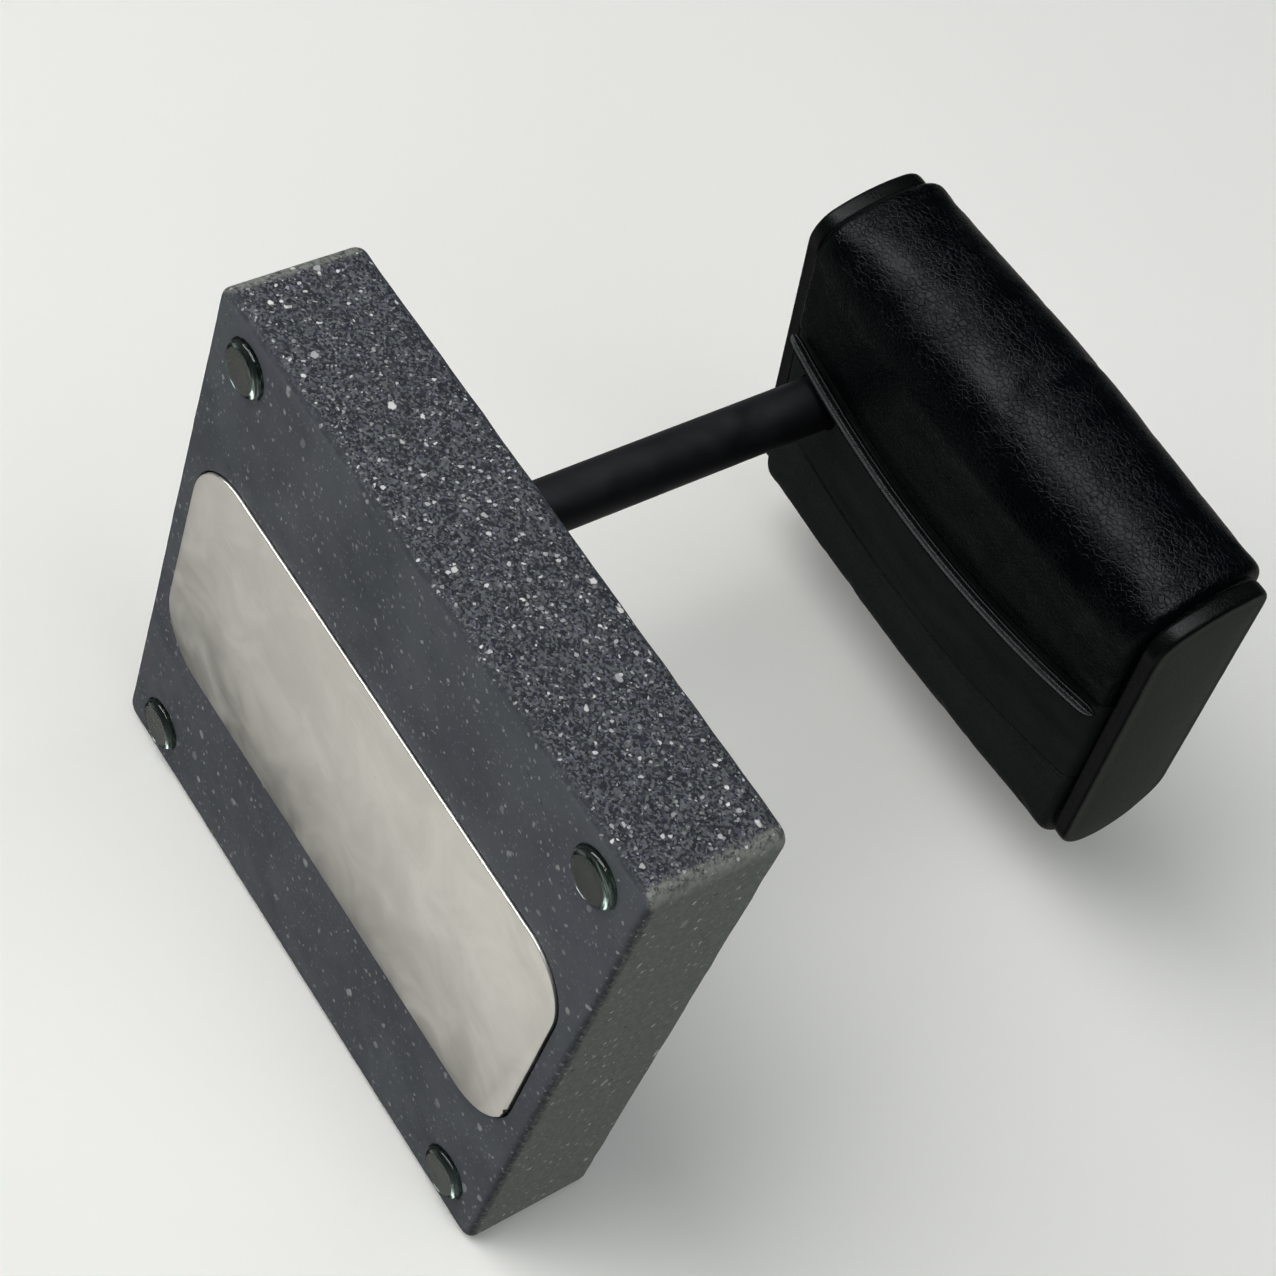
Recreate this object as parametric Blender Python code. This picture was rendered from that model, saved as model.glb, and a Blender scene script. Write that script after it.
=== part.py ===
"""Watch display stand: a stone slab on clear feet, an off-centre post and a leather cushion head.

Frame: metres, +Z up. The origin is at the middle of the slab's footprint, on the plane that the
feet rest on. +Y is the back of the stand, where the cushion's top face is highest. The head pieces
are modelled in the head's own frame (x along the cushion, y across it, z through its thickness)
and hang on an empty that tilts them.
"""
import math

import bpy
import bmesh
from mathutils import Vector

MM = 0.001
GAP = 0.3 * MM  # clearance kept between touching or nested pieces

# Slab
BASE_SIDE = 94.0 * MM
BASE_THICK = 20.0 * MM
BASE_CORNER_R = 2.2 * MM
BASE_TOP_R = 1.8 * MM
BASE_BOTTOM_R = 1.2 * MM

# Feet: low clear discs, glued into shallow seats
FOOT_R = 3.8 * MM
FOOT_PROUD = 1.1 * MM
FOOT_THICK = 1.5 * MM
FOOT_EDGE_R = 0.5 * MM
FOOT_INSET_X = 8.3 * MM
FOOT_INSET_Y = 7.0 * MM

# Underside plate and its adhesive film
PLATE_LENGTH = 86.0 * MM
PLATE_WIDTH = 41.0 * MM
PLATE_THICK = 0.8 * MM
PLATE_CORNER_R = 9.0 * MM
PLATE_PROUD = 0.4 * MM
PLATE_OFFSET_Y = 0.6 * MM
PLATE_EDGE_R = 0.15 * MM
FILM_THICK = 0.2 * MM
FILM_MARGIN = 2.0 * MM

# Post
POST_R = 4.2 * MM
POST_X = -27.6 * MM
POST_SEAT = 4.0 * MM
POST_CHAMFER = 0.4 * MM

# Fasteners
THREAD_R = 2.5 * MM
THREAD_DEPTH = 9.0 * MM
SCREW_HEAD_R = 4.25 * MM
SCREW_HEAD_H = 3.0 * MM
SCREW_SOCKET_R = 1.7 * MM
SCREW_SOCKET_DEPTH = 1.6 * MM
WASHER_R = 5.0 * MM
FLAT_WASHER_THICK = 1.0 * MM
SPRING_WASHER_R = 4.1 * MM
SPRING_WASHER_THICK = 1.2 * MM
SPRING_WASHER_SLIT = math.radians(16.0)
FIBRE_WASHER_THICK = 0.8 * MM
HEAD_ROOM = 0.5 * MM  # free height above the screw head
BORE_CLEARANCE = 1.0 * MM  # around the washers in the counterbore
INSERT_R = 3.5 * MM
INSERT_LENGTH = 7.0 * MM
INSERT_GROOVE = 0.4 * MM

# Head: placement and cross-section of the end panels
HEAD_X = 0.95 * MM
HEAD_HEIGHT = 110.9 * MM  # axis height above the rest plane
HEAD_TILT = math.radians(12.5)
PANEL_WIDTH = 67.7 * MM
PANEL_HEIGHT = 19.6 * MM
PANEL_BACK_R = 9.4 * MM
PANEL_FRONT_TOP_R = 4.2 * MM
PANEL_FRONT_BOTTOM_R = 5.2 * MM
PANEL_FRONT_BOW_R = 28.0 * MM
PANEL_SPREAD = 80.0 * MM  # between the two rims' outer edges

# End panels
RIM_THICK = 2.8 * MM
RIM_EDGE_R = 0.9 * MM
CROWN = 1.2 * MM
COVER_LEATHER = 0.7 * MM
FLANGE_THICK = 0.5 * MM
FLANGE_WIDTH = 3.4 * MM
BOARD_THICK = 1.0 * MM
PAD_SCALE = 0.72
CROWN_SCALE = 0.75
CROWN_INSET = 2.5 * MM
SHOULDER_SHARE = 0.35
CROWN_LINING = 0.01
GLUE_THICK = 0.5 * MM

# Drum: core, foam and wrap
CORE_INSET = 2.4 * MM
CORE_EDGE = 0.6 * MM
WRAP_LEATHER = 1.0 * MM
WRAP_ROLL_R = 1.5 * MM
WRAP_END_RISE = 1.5 * MM
WRAP_MID_RISE = 2.6 * MM
FOAM_SETBACK = 2.2 * MM

# Slot on the underside, its strip and the piping along the front flap
STRIP_THICK = 0.5 * MM
PIPING_R = 1.1 * MM
PIPING_STAND_OFF = 1.7 * MM
PIPING_Y = -(POST_R + PIPING_STAND_OFF)
PIPING_BOW = 5.1 * MM
SLOT_BACK_Y = 15.0 * MM
SLOT_BACK_BOW = 4.5 * MM
PIPING_SETBACK = 1.2 * MM

CUTTER_SPARE = 2.0 * MM

TURN_STEPS = 36
SMALL_STEPS = 24
ARC_STEPS = 5

# Heights that follow from the values above
STONE_BOTTOM = FOOT_PROUD
STONE_TOP = STONE_BOTTOM + BASE_THICK
PLATE_BOTTOM = STONE_BOTTOM - PLATE_PROUD
PLATE_TOP = PLATE_BOTTOM + PLATE_THICK
FILM_BOTTOM = PLATE_TOP + GAP
POCKET_TOP = FILM_BOTTOM + FILM_THICK + GAP
POST_BOTTOM = STONE_TOP - POST_SEAT + GAP
BOLT_STACK = SCREW_HEAD_H + SPRING_WASHER_THICK + FLAT_WASHER_THICK + FIBRE_WASHER_THICK
BORE_TOP = POCKET_TOP + HEAD_ROOM + BOLT_STACK + 4 * GAP
CORE_HALF_HEIGHT = PANEL_HEIGHT / 2 - CORE_INSET
POST_Y = 0.0
POST_IN_CORE = 4.0 * MM
POST_TOP = HEAD_HEIGHT - CORE_HALF_HEIGHT / math.cos(HEAD_TILT) + POST_IN_CORE
INSERT_BOTTOM = POST_TOP + 2 * GAP
PANEL_BACK = PANEL_SPREAD / 2 - RIM_THICK
CORE_END = PANEL_BACK - GAP
WRAP_END = PANEL_BACK - GAP


def clear_scene():
    for item in list(bpy.data.objects):
        bpy.data.objects.remove(item, do_unlink=True)


def finish(name, color, roughness, metallic=0.0, alpha=1.0):
    mat = bpy.data.materials.new(name)
    mat.use_nodes = True
    shader = mat.node_tree.nodes["Principled BSDF"]
    shader.inputs["Base Color"].default_value = (*color, 1.0)
    shader.inputs["Roughness"].default_value = roughness
    shader.inputs["Metallic"].default_value = metallic
    shader.inputs["Alpha"].default_value = alpha
    return mat


def skin(name, rings, mat, loop=False, smooth=True, parent=None):
    """One closed body through a row of rings: capped at both ends, or joined end to start."""
    mesh = bpy.data.meshes.new(name)
    bm = bmesh.new()
    rows = [[bm.verts.new(point) for point in ring] for ring in rings]
    pairs = list(zip(rows, rows[1:]))
    if loop:
        pairs.append((rows[-1], rows[0]))
    else:
        bm.faces.new(rows[0])
        bm.faces.new(rows[-1])
    for lower, upper in pairs:
        for i in range(len(lower)):
            j = (i + 1) % len(lower)
            bm.faces.new((lower[i], lower[j], upper[j], upper[i]))
    bmesh.ops.recalc_face_normals(bm, faces=bm.faces)
    bm.to_mesh(mesh)
    bm.free()
    if smooth:
        mesh.shade_smooth()
        mesh.set_sharp_from_angle(angle=math.radians(35.0))
    if mat:
        mesh.materials.append(mat)
    obj = bpy.data.objects.new(name, mesh)
    obj.parent = parent
    bpy.context.scene.collection.objects.link(obj)
    return obj


def circle(radius, z, steps):
    turn = 2 * math.pi / steps
    return [Vector((radius * math.cos(i * turn), radius * math.sin(i * turn), z)) for i in range(steps)]


def turned(name, profile, mat, place=(0, 0), loop=False, steps=SMALL_STEPS):
    """A turned piece on a vertical axis; profile is a list of (radius, height)."""
    rings = [circle(radius, z, steps) for radius, z in profile]
    obj = skin(name, rings, mat, loop=loop)
    obj.location = (place[0], place[1], 0.0)
    return obj


def rounded_rect(length, width, radius, inset, z, steps=ARC_STEPS):
    """Rounded rectangle about the origin, drawn in by inset with its corner radius."""
    reach_x = length / 2 - radius
    reach_y = width / 2 - radius
    points = []
    for sx, sy, start in ((1, 1, 0.0), (-1, 1, 0.5), (-1, -1, 1.0), (1, -1, 1.5)):
        for i in range(steps + 1):
            angle = math.pi * (start + 0.5 * i / steps)
            x = sx * reach_x + (radius - inset) * math.cos(angle)
            y = sy * reach_y + (radius - inset) * math.sin(angle)
            points.append(Vector((x, y, z)))
    return points


def rounded_edge(radius, steps=3):
    """(inset, drop) pairs of a quarter round, from the flat face out to the side wall."""
    turn = [math.pi / 2 * i / steps for i in range(steps + 1)]
    return [(radius * (1 - math.sin(a)), radius * (1 - math.cos(a))) for a in turn]


def cut(target, cutter):
    cutter.hide_render = True
    cutter.display_type = "WIRE"
    step = target.modifiers.new(cutter.name, "BOOLEAN")
    step.operation = "DIFFERENCE"
    step.object = cutter
    step.solver = "EXACT"


def arc(centre, radius, start, end, steps):
    """Points of an arc in the head's cross-section; angles are in radians."""
    span = [start + (end - start) * i / steps for i in range(steps + 1)]
    return [(centre[0] + radius * math.cos(a), centre[1] + radius * math.sin(a)) for a in span]


def front_corner(radius, sign):
    """Centre of a front corner arc and the angle where it meets the bowed front."""
    bow_centre = PANEL_FRONT_BOW_R - PANEL_WIDTH / 2
    rise = PANEL_HEIGHT / 2 - radius
    reach = math.sqrt((PANEL_FRONT_BOW_R - radius) ** 2 - rise ** 2)
    angle = math.pi - math.asin(rise / (PANEL_FRONT_BOW_R - radius))
    return (bow_centre - reach, sign * rise), angle


def head_outline(offset):
    """The head's cross-section, offset outwards: an open run from the underside's back end,
    round the back, top and front, to the underside's front end."""
    back = PANEL_WIDTH / 2 - PANEL_BACK_R
    rise = PANEL_HEIGHT / 2 - PANEL_BACK_R
    top_centre, top_angle = front_corner(PANEL_FRONT_TOP_R, 1)
    low_centre, low_angle = front_corner(PANEL_FRONT_BOTTOM_R, -1)
    bow_centre = (PANEL_FRONT_BOW_R - PANEL_WIDTH / 2, 0.0)
    half = math.pi / 2
    points = arc((back, -rise), PANEL_BACK_R + offset, -half, 0.0, ARC_STEPS)
    points += arc((back, rise), PANEL_BACK_R + offset, 0.0, half, ARC_STEPS)
    points += arc(top_centre, PANEL_FRONT_TOP_R + offset, half, top_angle, ARC_STEPS)
    bow = arc(bow_centre, PANEL_FRONT_BOW_R + offset, top_angle, 2 * math.pi - low_angle, 4)
    points += bow[1:-1]
    low_start = 2 * math.pi - low_angle
    points += arc(low_centre, PANEL_FRONT_BOTTOM_R + offset, low_start, 3 * half, ARC_STEPS)
    return points


def head_ring(x, offset, scale=1.0):
    return [Vector((x, y * scale, z * scale)) for y, z in head_outline(offset)]


def along(x):
    """0 in the middle of the drum, 1 at its ends."""
    return min(1.0, abs(x) / WRAP_END)


def piping_y(x):
    return PIPING_Y - PIPING_BOW * along(x) ** 2


def slot_front_y(x):
    return piping_y(x) - PIPING_R - GAP


def slot_back_y(x):
    return SLOT_BACK_Y - SLOT_BACK_BOW * along(x) ** 2


def wrap_rise(x):
    """How far the wrap's outside stands out from the panels' outline."""
    full = WRAP_END - WRAP_ROLL_R
    if abs(x) > full:
        run = (abs(x) - full) / WRAP_ROLL_R
        return WRAP_END_RISE - WRAP_ROLL_R * (1 - math.sqrt(max(0.0, 1 - run ** 2)))
    return WRAP_END_RISE + (WRAP_MID_RISE - WRAP_END_RISE) * (1 - (x / full) ** 2)


def stations(end, inner_steps, roll_steps=0):
    """x positions along the drum, closer together in the rolled ends."""
    full = end - WRAP_ROLL_R if roll_steps else end
    places = [full * (2 * i / inner_steps - 1) for i in range(inner_steps + 1)]
    for i in range(1, roll_steps + 1):
        x = full + WRAP_ROLL_R * math.sin(math.pi / 2 * i / roll_steps)
        places = [-x] + places + [x]
    return places


def make_base(stone):
    rings = []
    for inset, drop in rounded_edge(BASE_BOTTOM_R):
        rings.append(rounded_rect(BASE_SIDE, BASE_SIDE, BASE_CORNER_R, inset, STONE_BOTTOM + drop))
    for inset, drop in reversed(rounded_edge(BASE_TOP_R)):
        rings.append(rounded_rect(BASE_SIDE, BASE_SIDE, BASE_CORNER_R, inset, STONE_TOP - drop))
    base = skin("granite_base", rings, stone)
    below = STONE_BOTTOM - CUTTER_SPARE

    pocket = skin("plate_pocket_cutter", [
        rounded_rect(PLATE_LENGTH, PLATE_WIDTH, PLATE_CORNER_R, -GAP, z)
        for z in (below, POCKET_TOP)], None)
    pocket.location.y = PLATE_OFFSET_Y
    cut(base, pocket)

    seat_top = FOOT_THICK + GAP
    for i, (x, y) in enumerate(foot_places(), 1):
        profile = [(FOOT_R + GAP, below), (FOOT_R + GAP, seat_top)]
        cut(base, turned(f"foot_seat_cutter_{i}", profile, None, (x, y), steps=TURN_STEPS))

    bore_r = WASHER_R + BORE_CLEARANCE
    hole_r = THREAD_R + GAP
    seat_r = POST_R + GAP
    profile = [(bore_r, below), (bore_r, BORE_TOP), (hole_r, BORE_TOP), (hole_r, STONE_TOP - POST_SEAT),
               (seat_r, STONE_TOP - POST_SEAT), (seat_r, STONE_TOP + CUTTER_SPARE)]
    cut(base, turned("post_hole_cutter", profile, None, (POST_X, POST_Y)))


def foot_places():
    x = BASE_SIDE / 2 - FOOT_INSET_X
    y = BASE_SIDE / 2 - FOOT_INSET_Y
    return [(-x, -y), (x, -y), (-x, y), (x, y)]


def make_feet(clear_rubber):
    profile = [(FOOT_R - inset, drop) for inset, drop in rounded_edge(FOOT_EDGE_R)]
    profile.append((FOOT_R, FOOT_THICK))
    names = ("foot_front_left", "foot_front_right", "foot_back_left", "foot_back_right")
    for name, place in zip(names, foot_places()):
        turned(name, profile, clear_rubber, place, steps=TURN_STEPS)


def make_plate(steel, film):
    size = (PLATE_LENGTH, PLATE_WIDTH, PLATE_CORNER_R)
    edge = rounded_edge(PLATE_EDGE_R, 2)
    rings = [rounded_rect(*size, inset, PLATE_BOTTOM + drop) for inset, drop in edge]
    rings.append(rounded_rect(*size, 0.0, PLATE_TOP))
    plate = skin("underside_plate", rings, steel)
    heights = (FILM_BOTTOM, FILM_BOTTOM + FILM_THICK)
    rings = [rounded_rect(*size, FILM_MARGIN, z) for z in heights]
    sheet = skin("plate_adhesive", rings, film)
    for obj in (plate, sheet):
        obj.location.y = PLATE_OFFSET_Y
    bore_r = WASHER_R + BORE_CLEARANCE
    profile = [(bore_r, FILM_BOTTOM - MM), (bore_r, FILM_BOTTOM + FILM_THICK + MM)]
    cut(sheet, turned("film_hole_cutter", profile, None, (POST_X, POST_Y)))


def make_post(black_steel):
    hole_r = THREAD_R + GAP
    profile = [(hole_r, POST_BOTTOM + THREAD_DEPTH), (hole_r, POST_BOTTOM),
               (POST_R - POST_CHAMFER, POST_BOTTOM), (POST_R, POST_BOTTOM + POST_CHAMFER),
               (POST_R, POST_TOP - POST_CHAMFER), (POST_R - POST_CHAMFER, POST_TOP),
               (hole_r, POST_TOP), (hole_r, POST_TOP - THREAD_DEPTH)]
    turned("post", profile, black_steel, (POST_X, POST_Y), steps=TURN_STEPS)


def washer(name, outer, bottom, thick, mat):
    inner = THREAD_R + GAP
    profile = [(inner, bottom), (outer, bottom), (outer, bottom + thick), (inner, bottom + thick)]
    turned(name, profile, mat, (POST_X, POST_Y), loop=True)


def make_spring_washer(bottom, mat):
    inner = THREAD_R + GAP
    span = 2 * math.pi - SPRING_WASHER_SLIT
    angles = [span * i / SMALL_STEPS for i in range(SMALL_STEPS + 1)]
    rings = []
    for z in (bottom, bottom + SPRING_WASHER_THICK):
        outside = [Vector((SPRING_WASHER_R * math.cos(a), SPRING_WASHER_R * math.sin(a), z))
                   for a in angles]
        inside = [Vector((inner * math.cos(a), inner * math.sin(a), z)) for a in reversed(angles)]
        rings.append(outside + inside)
    ring = skin("spring_washer", rings, mat)
    ring.location = (POST_X, POST_Y, 0.0)


def make_base_fastening(zinc, fibre):
    place = (POST_X, POST_Y)
    head_bottom = POCKET_TOP + HEAD_ROOM
    head_top = head_bottom + SCREW_HEAD_H
    tip = POST_BOTTOM + THREAD_DEPTH - 2 * GAP
    chamfer = POST_CHAMFER
    profile = [(SCREW_HEAD_R - chamfer, head_bottom), (SCREW_HEAD_R, head_bottom + chamfer),
               (SCREW_HEAD_R, head_top), (THREAD_R, head_top), (THREAD_R, tip - chamfer),
               (THREAD_R - chamfer, tip)]
    screw = turned("base_screw", profile, zinc, place)
    profile = [(SCREW_SOCKET_R, head_bottom - MM), (SCREW_SOCKET_R, head_bottom + SCREW_SOCKET_DEPTH)]
    cut(screw, turned("socket_cutter", profile, None, place, steps=6))
    spring_bottom = head_top + GAP
    flat_bottom = spring_bottom + SPRING_WASHER_THICK + GAP
    fibre_bottom = flat_bottom + FLAT_WASHER_THICK + GAP
    make_spring_washer(spring_bottom, zinc)
    washer("flat_washer", WASHER_R, flat_bottom, FLAT_WASHER_THICK, zinc)
    washer("fibre_washer", WASHER_R, fibre_bottom, FIBRE_WASHER_THICK, fibre)


def make_head_fastening(zinc, brass):
    place = (POST_X, POST_Y)
    bottom = POST_TOP - THREAD_DEPTH + 2 * GAP
    top = INSERT_BOTTOM + INSERT_LENGTH - GAP
    chamfer = POST_CHAMFER
    profile = [(THREAD_R - chamfer, bottom), (THREAD_R, bottom + chamfer),
               (THREAD_R, top - chamfer), (THREAD_R - chamfer, top)]
    turned("head_stud", profile, zinc, place)
    inner = THREAD_R + GAP
    waist = INSERT_R - INSERT_GROOVE
    third = INSERT_LENGTH / 3
    profile = [(inner, INSERT_BOTTOM), (INSERT_R, INSERT_BOTTOM), (INSERT_R, INSERT_BOTTOM + third),
               (waist, INSERT_BOTTOM + third), (waist, INSERT_BOTTOM + 2 * third),
               (INSERT_R, INSERT_BOTTOM + 2 * third), (INSERT_R, INSERT_BOTTOM + INSERT_LENGTH),
               (inner, INSERT_BOTTOM + INSERT_LENGTH)]
    turned("threaded_insert", profile, brass, place, loop=True)


def make_head_bore():
    """Stepped vertical cutter for the post, the stud and the insert."""
    post_r = POST_R + GAP
    insert_r = INSERT_R + GAP
    low = HEAD_HEIGHT - PANEL_HEIGHT - WRAP_MID_RISE
    step = POST_TOP + GAP
    profile = [(post_r, low), (post_r, step), (insert_r, step),
               (insert_r, INSERT_BOTTOM + INSERT_LENGTH + GAP)]
    return turned("head_bore_cutter", profile, None, (POST_X, POST_Y), steps=TURN_STEPS)


def make_core(frame, wood, bore):
    flat_end = CORE_END - CORE_EDGE
    ends = ((-CORE_END, CORE_EDGE), (-flat_end, 0.0), (flat_end, 0.0), (CORE_END, CORE_EDGE))
    rings = [head_ring(x, -CORE_INSET - inset) for x, inset in ends]
    cut(skin("head_core", rings, wood, parent=frame), bore)


def make_foam(frame, foam, bore):
    places = stations(WRAP_END - FOAM_SETBACK, 6)
    outside = [head_ring(x, wrap_rise(x) - WRAP_LEATHER - GAP) for x in places]
    inside = [head_ring(x, GAP - CORE_INSET) for x in reversed(places)]
    cut(skin("head_foam", outside + inside, foam, loop=True, parent=frame), bore)


def make_wrap(frame, leather):
    """The leather round the drum: open along the underside, rolled in at both ends."""
    rings = []
    for x in stations(WRAP_END, 8, 3):
        rise = wrap_rise(x)
        run = []
        for offset in (rise, rise - WRAP_LEATHER):
            low = -PANEL_HEIGHT / 2 - offset
            edge_to_edge = [(slot_back_y(x), low)] + head_outline(offset) + [(slot_front_y(x), low)]
            run.append([Vector((x, y, z)) for y, z in edge_to_edge])
        rings.append(run[0] + run[1][::-1])
    skin("drum_leather", rings, leather, parent=frame)


def make_strip(frame, leather, bore):
    """The strip that closes the slot: a little below the wrap, round the post."""
    rings = []
    for x in stations(WRAP_END, 12, 3):
        inner = -PANEL_HEIGHT / 2 - wrap_rise(x) + WRAP_LEATHER
        outer = inner - STRIP_THICK
        front = slot_front_y(x) + GAP
        back = slot_back_y(x) - GAP
        middle = (front + back) / 2
        corners = ((front, inner), (front, outer), (middle, outer),
                   (back, outer), (back, inner), (middle, inner))
        rings.append([Vector((x, y, z)) for y, z in corners])
    cut(skin("underside_strip", rings, leather, parent=frame), bore)


def make_piping(frame, leather):
    """A round edge along the front flap, lying on the strip beside the wrap's edge."""
    rings = []
    end = WRAP_END - WRAP_ROLL_R - PIPING_SETBACK
    for x in stations(end, 14):
        z = -PANEL_HEIGHT / 2 - wrap_rise(x) + WRAP_LEATHER - STRIP_THICK - GAP - PIPING_R
        rings.append([Vector((x, piping_y(x) + p.x, z + p.y)) for p in circle(PIPING_R, 0.0, 12)])
    skin("flap_piping", rings, leather, parent=frame)


def cover_rings(side):
    """Outer face, rim, turned-over flange and inner face of one end cover, as rings."""
    back = PANEL_BACK
    rim = back + RIM_THICK
    board_room = back + FLANGE_THICK
    crown = rim + CROWN
    shoulder = rim + CROWN * SHOULDER_SHARE
    rows = [(crown, -CROWN_INSET, CROWN_SCALE), (shoulder, -CROWN_INSET, 1.0)]
    rows += [(rim - drop, -inset, 1.0) for inset, drop in rounded_edge(RIM_EDGE_R)]
    rows += [(back + drop, -inset, 1.0) for inset, drop in reversed(rounded_edge(FLANGE_THICK))]
    rows += [(back, -FLANGE_WIDTH, 1.0), (board_room, -FLANGE_WIDTH, 1.0)]
    rows += [(board_room, -COVER_LEATHER, 1.0), (rim - COVER_LEATHER, -COVER_LEATHER, 1.0)]
    rows += [(rim - COVER_LEATHER, -CROWN_INSET, 1.0),
             (crown - COVER_LEATHER, -CROWN_INSET, CROWN_SCALE - CROWN_LINING)]
    return [head_ring(side * x, offset, scale) for x, offset, scale in rows]


def make_panel(frame, side, name, leather, board, foam, glue):
    """Leather cover, pad, board and adhesive of one end panel."""
    skin(f"end_cover_{name}", cover_rings(side), leather, parent=frame)
    board_back = PANEL_BACK + FLANGE_THICK + GAP
    board_front = board_back + BOARD_THICK
    pad_back = board_front + GAP
    pad_front = PANEL_BACK + RIM_THICK + CROWN - COVER_LEATHER - GAP
    glue_back = CORE_END + GAP
    slabs = (
        (f"end_board_{name}", board_back, board_front, -COVER_LEATHER - GAP, 1.0, board),
        (f"end_pad_{name}", pad_back, pad_front, -CROWN_INSET, PAD_SCALE, foam),
        (f"end_adhesive_{name}", glue_back, glue_back + GLUE_THICK, -FLANGE_WIDTH - GAP, 1.0, glue),
    )
    for label, low, high, offset, scale, mat in slabs:
        skin(label, [head_ring(side * x, offset, scale) for x in (low, high)], mat, parent=frame)


def make_head(leather, foam, wood, board, glue):
    frame = bpy.data.objects.new("head_frame", None)
    frame.location = (HEAD_X, POST_Y, HEAD_HEIGHT)
    frame.rotation_euler = (HEAD_TILT, 0.0, 0.0)
    bpy.context.scene.collection.objects.link(frame)
    bore = make_head_bore()
    make_core(frame, wood, bore)
    make_foam(frame, foam, bore)
    make_wrap(frame, leather)
    make_strip(frame, leather, bore)
    make_piping(frame, leather)
    make_panel(frame, 1, "right", leather, board, foam, glue)
    make_panel(frame, -1, "left", leather, board, foam, glue)


def main():
    clear_scene()
    stone = finish("granite", (0.085, 0.088, 0.105), 0.65)
    steel = finish("satin_steel", (0.56, 0.54, 0.51), 0.38, metallic=1.0)
    film = finish("adhesive_film", (0.8, 0.79, 0.75), 0.6)
    clear_rubber = finish("clear_rubber", (0.75, 0.8, 0.78), 0.2, alpha=0.4)
    black_steel = finish("black_coated_steel", (0.012, 0.012, 0.014), 0.5)
    zinc = finish("zinc_steel", (0.6, 0.6, 0.62), 0.35, metallic=1.0)
    fibre = finish("fibre", (0.35, 0.06, 0.03), 0.8)
    brass = finish("brass", (0.7, 0.5, 0.2), 0.35, metallic=1.0)
    leather = finish("black_leather", (0.012, 0.012, 0.013), 0.45)
    foam = finish("foam", (0.12, 0.12, 0.12), 0.9)
    wood = finish("beech", (0.55, 0.38, 0.22), 0.7)
    board = finish("fibreboard", (0.3, 0.24, 0.17), 0.85)
    make_base(stone)
    make_feet(clear_rubber)
    make_plate(steel, film)
    make_post(black_steel)
    make_base_fastening(zinc, fibre)
    make_head_fastening(zinc, brass)
    make_head(leather, foam, wood, board, film)


main()
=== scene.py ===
"""Looks for the watch display stand: stone slab, clear feet, steel plate, post and leather cushion head.

Metres, +Z up, in the row frame. The head's pieces are built in the head's own frame (x along the
cushion, y across it, z through its thickness) and carried into the row frame by on_head().
"""

import math

import bpy
import bmesh
import numpy as np
from mathutils import Matrix, Vector, noise


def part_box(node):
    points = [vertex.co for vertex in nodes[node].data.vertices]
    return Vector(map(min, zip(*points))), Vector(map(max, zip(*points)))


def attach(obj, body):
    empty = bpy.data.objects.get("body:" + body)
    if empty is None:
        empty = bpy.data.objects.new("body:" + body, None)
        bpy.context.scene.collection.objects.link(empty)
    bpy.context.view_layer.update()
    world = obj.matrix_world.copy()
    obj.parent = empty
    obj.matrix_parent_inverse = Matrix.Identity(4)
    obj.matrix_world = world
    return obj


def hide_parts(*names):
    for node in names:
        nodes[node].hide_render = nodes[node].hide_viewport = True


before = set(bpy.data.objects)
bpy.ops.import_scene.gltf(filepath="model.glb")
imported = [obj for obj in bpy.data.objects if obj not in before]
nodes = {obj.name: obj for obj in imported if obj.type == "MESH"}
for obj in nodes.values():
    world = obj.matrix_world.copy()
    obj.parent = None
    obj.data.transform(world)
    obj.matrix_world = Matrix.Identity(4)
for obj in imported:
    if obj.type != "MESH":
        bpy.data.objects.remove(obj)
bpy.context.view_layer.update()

MM = 0.001
GAP = 0.3 * MM

# Head placement and cross-section
HEAD_AT = Vector((0.95, 0.0, 110.9)) * MM
HEAD_TURN = Matrix.Rotation(math.radians(12.5), 3, "X")
PANEL_WIDTH = 67.7 * MM
PANEL_HEIGHT = 19.6 * MM
PANEL_BACK_R = 9.4 * MM
PANEL_FRONT_TOP_R = 4.2 * MM
PANEL_FRONT_BOTTOM_R = 5.2 * MM
PANEL_FRONT_BOW_R = 28.0 * MM
PANEL_BACK = 37.2 * MM
RIM_THICK = 2.8 * MM
RIM_EDGE_R = 0.9 * MM
FLANGE_R = 0.5 * MM
FLANGE_WIDTH = 3.4 * MM
COVER_LEATHER = 0.7 * MM
WRAP_END = PANEL_BACK - GAP
WRAP_ROLL_R = 1.5 * MM
WRAP_END_RISE = 1.5 * MM
WRAP_MID_RISE = 2.6 * MM
TURN_IN = 1.8 * MM
WRAP_LEATHER = 1.0 * MM
STRIP_THICK = 0.5 * MM
STRIP_SHORT = 0.05 * MM
STRIP_TURN_IN = 0.9 * MM
PIPING_R = 1.1 * MM
PIPING_Y = -5.9 * MM
PIPING_BOW = 5.1 * MM
SLOT_BACK_Y = 15.0 * MM
SLOT_BACK_BOW = 4.5 * MM

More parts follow.
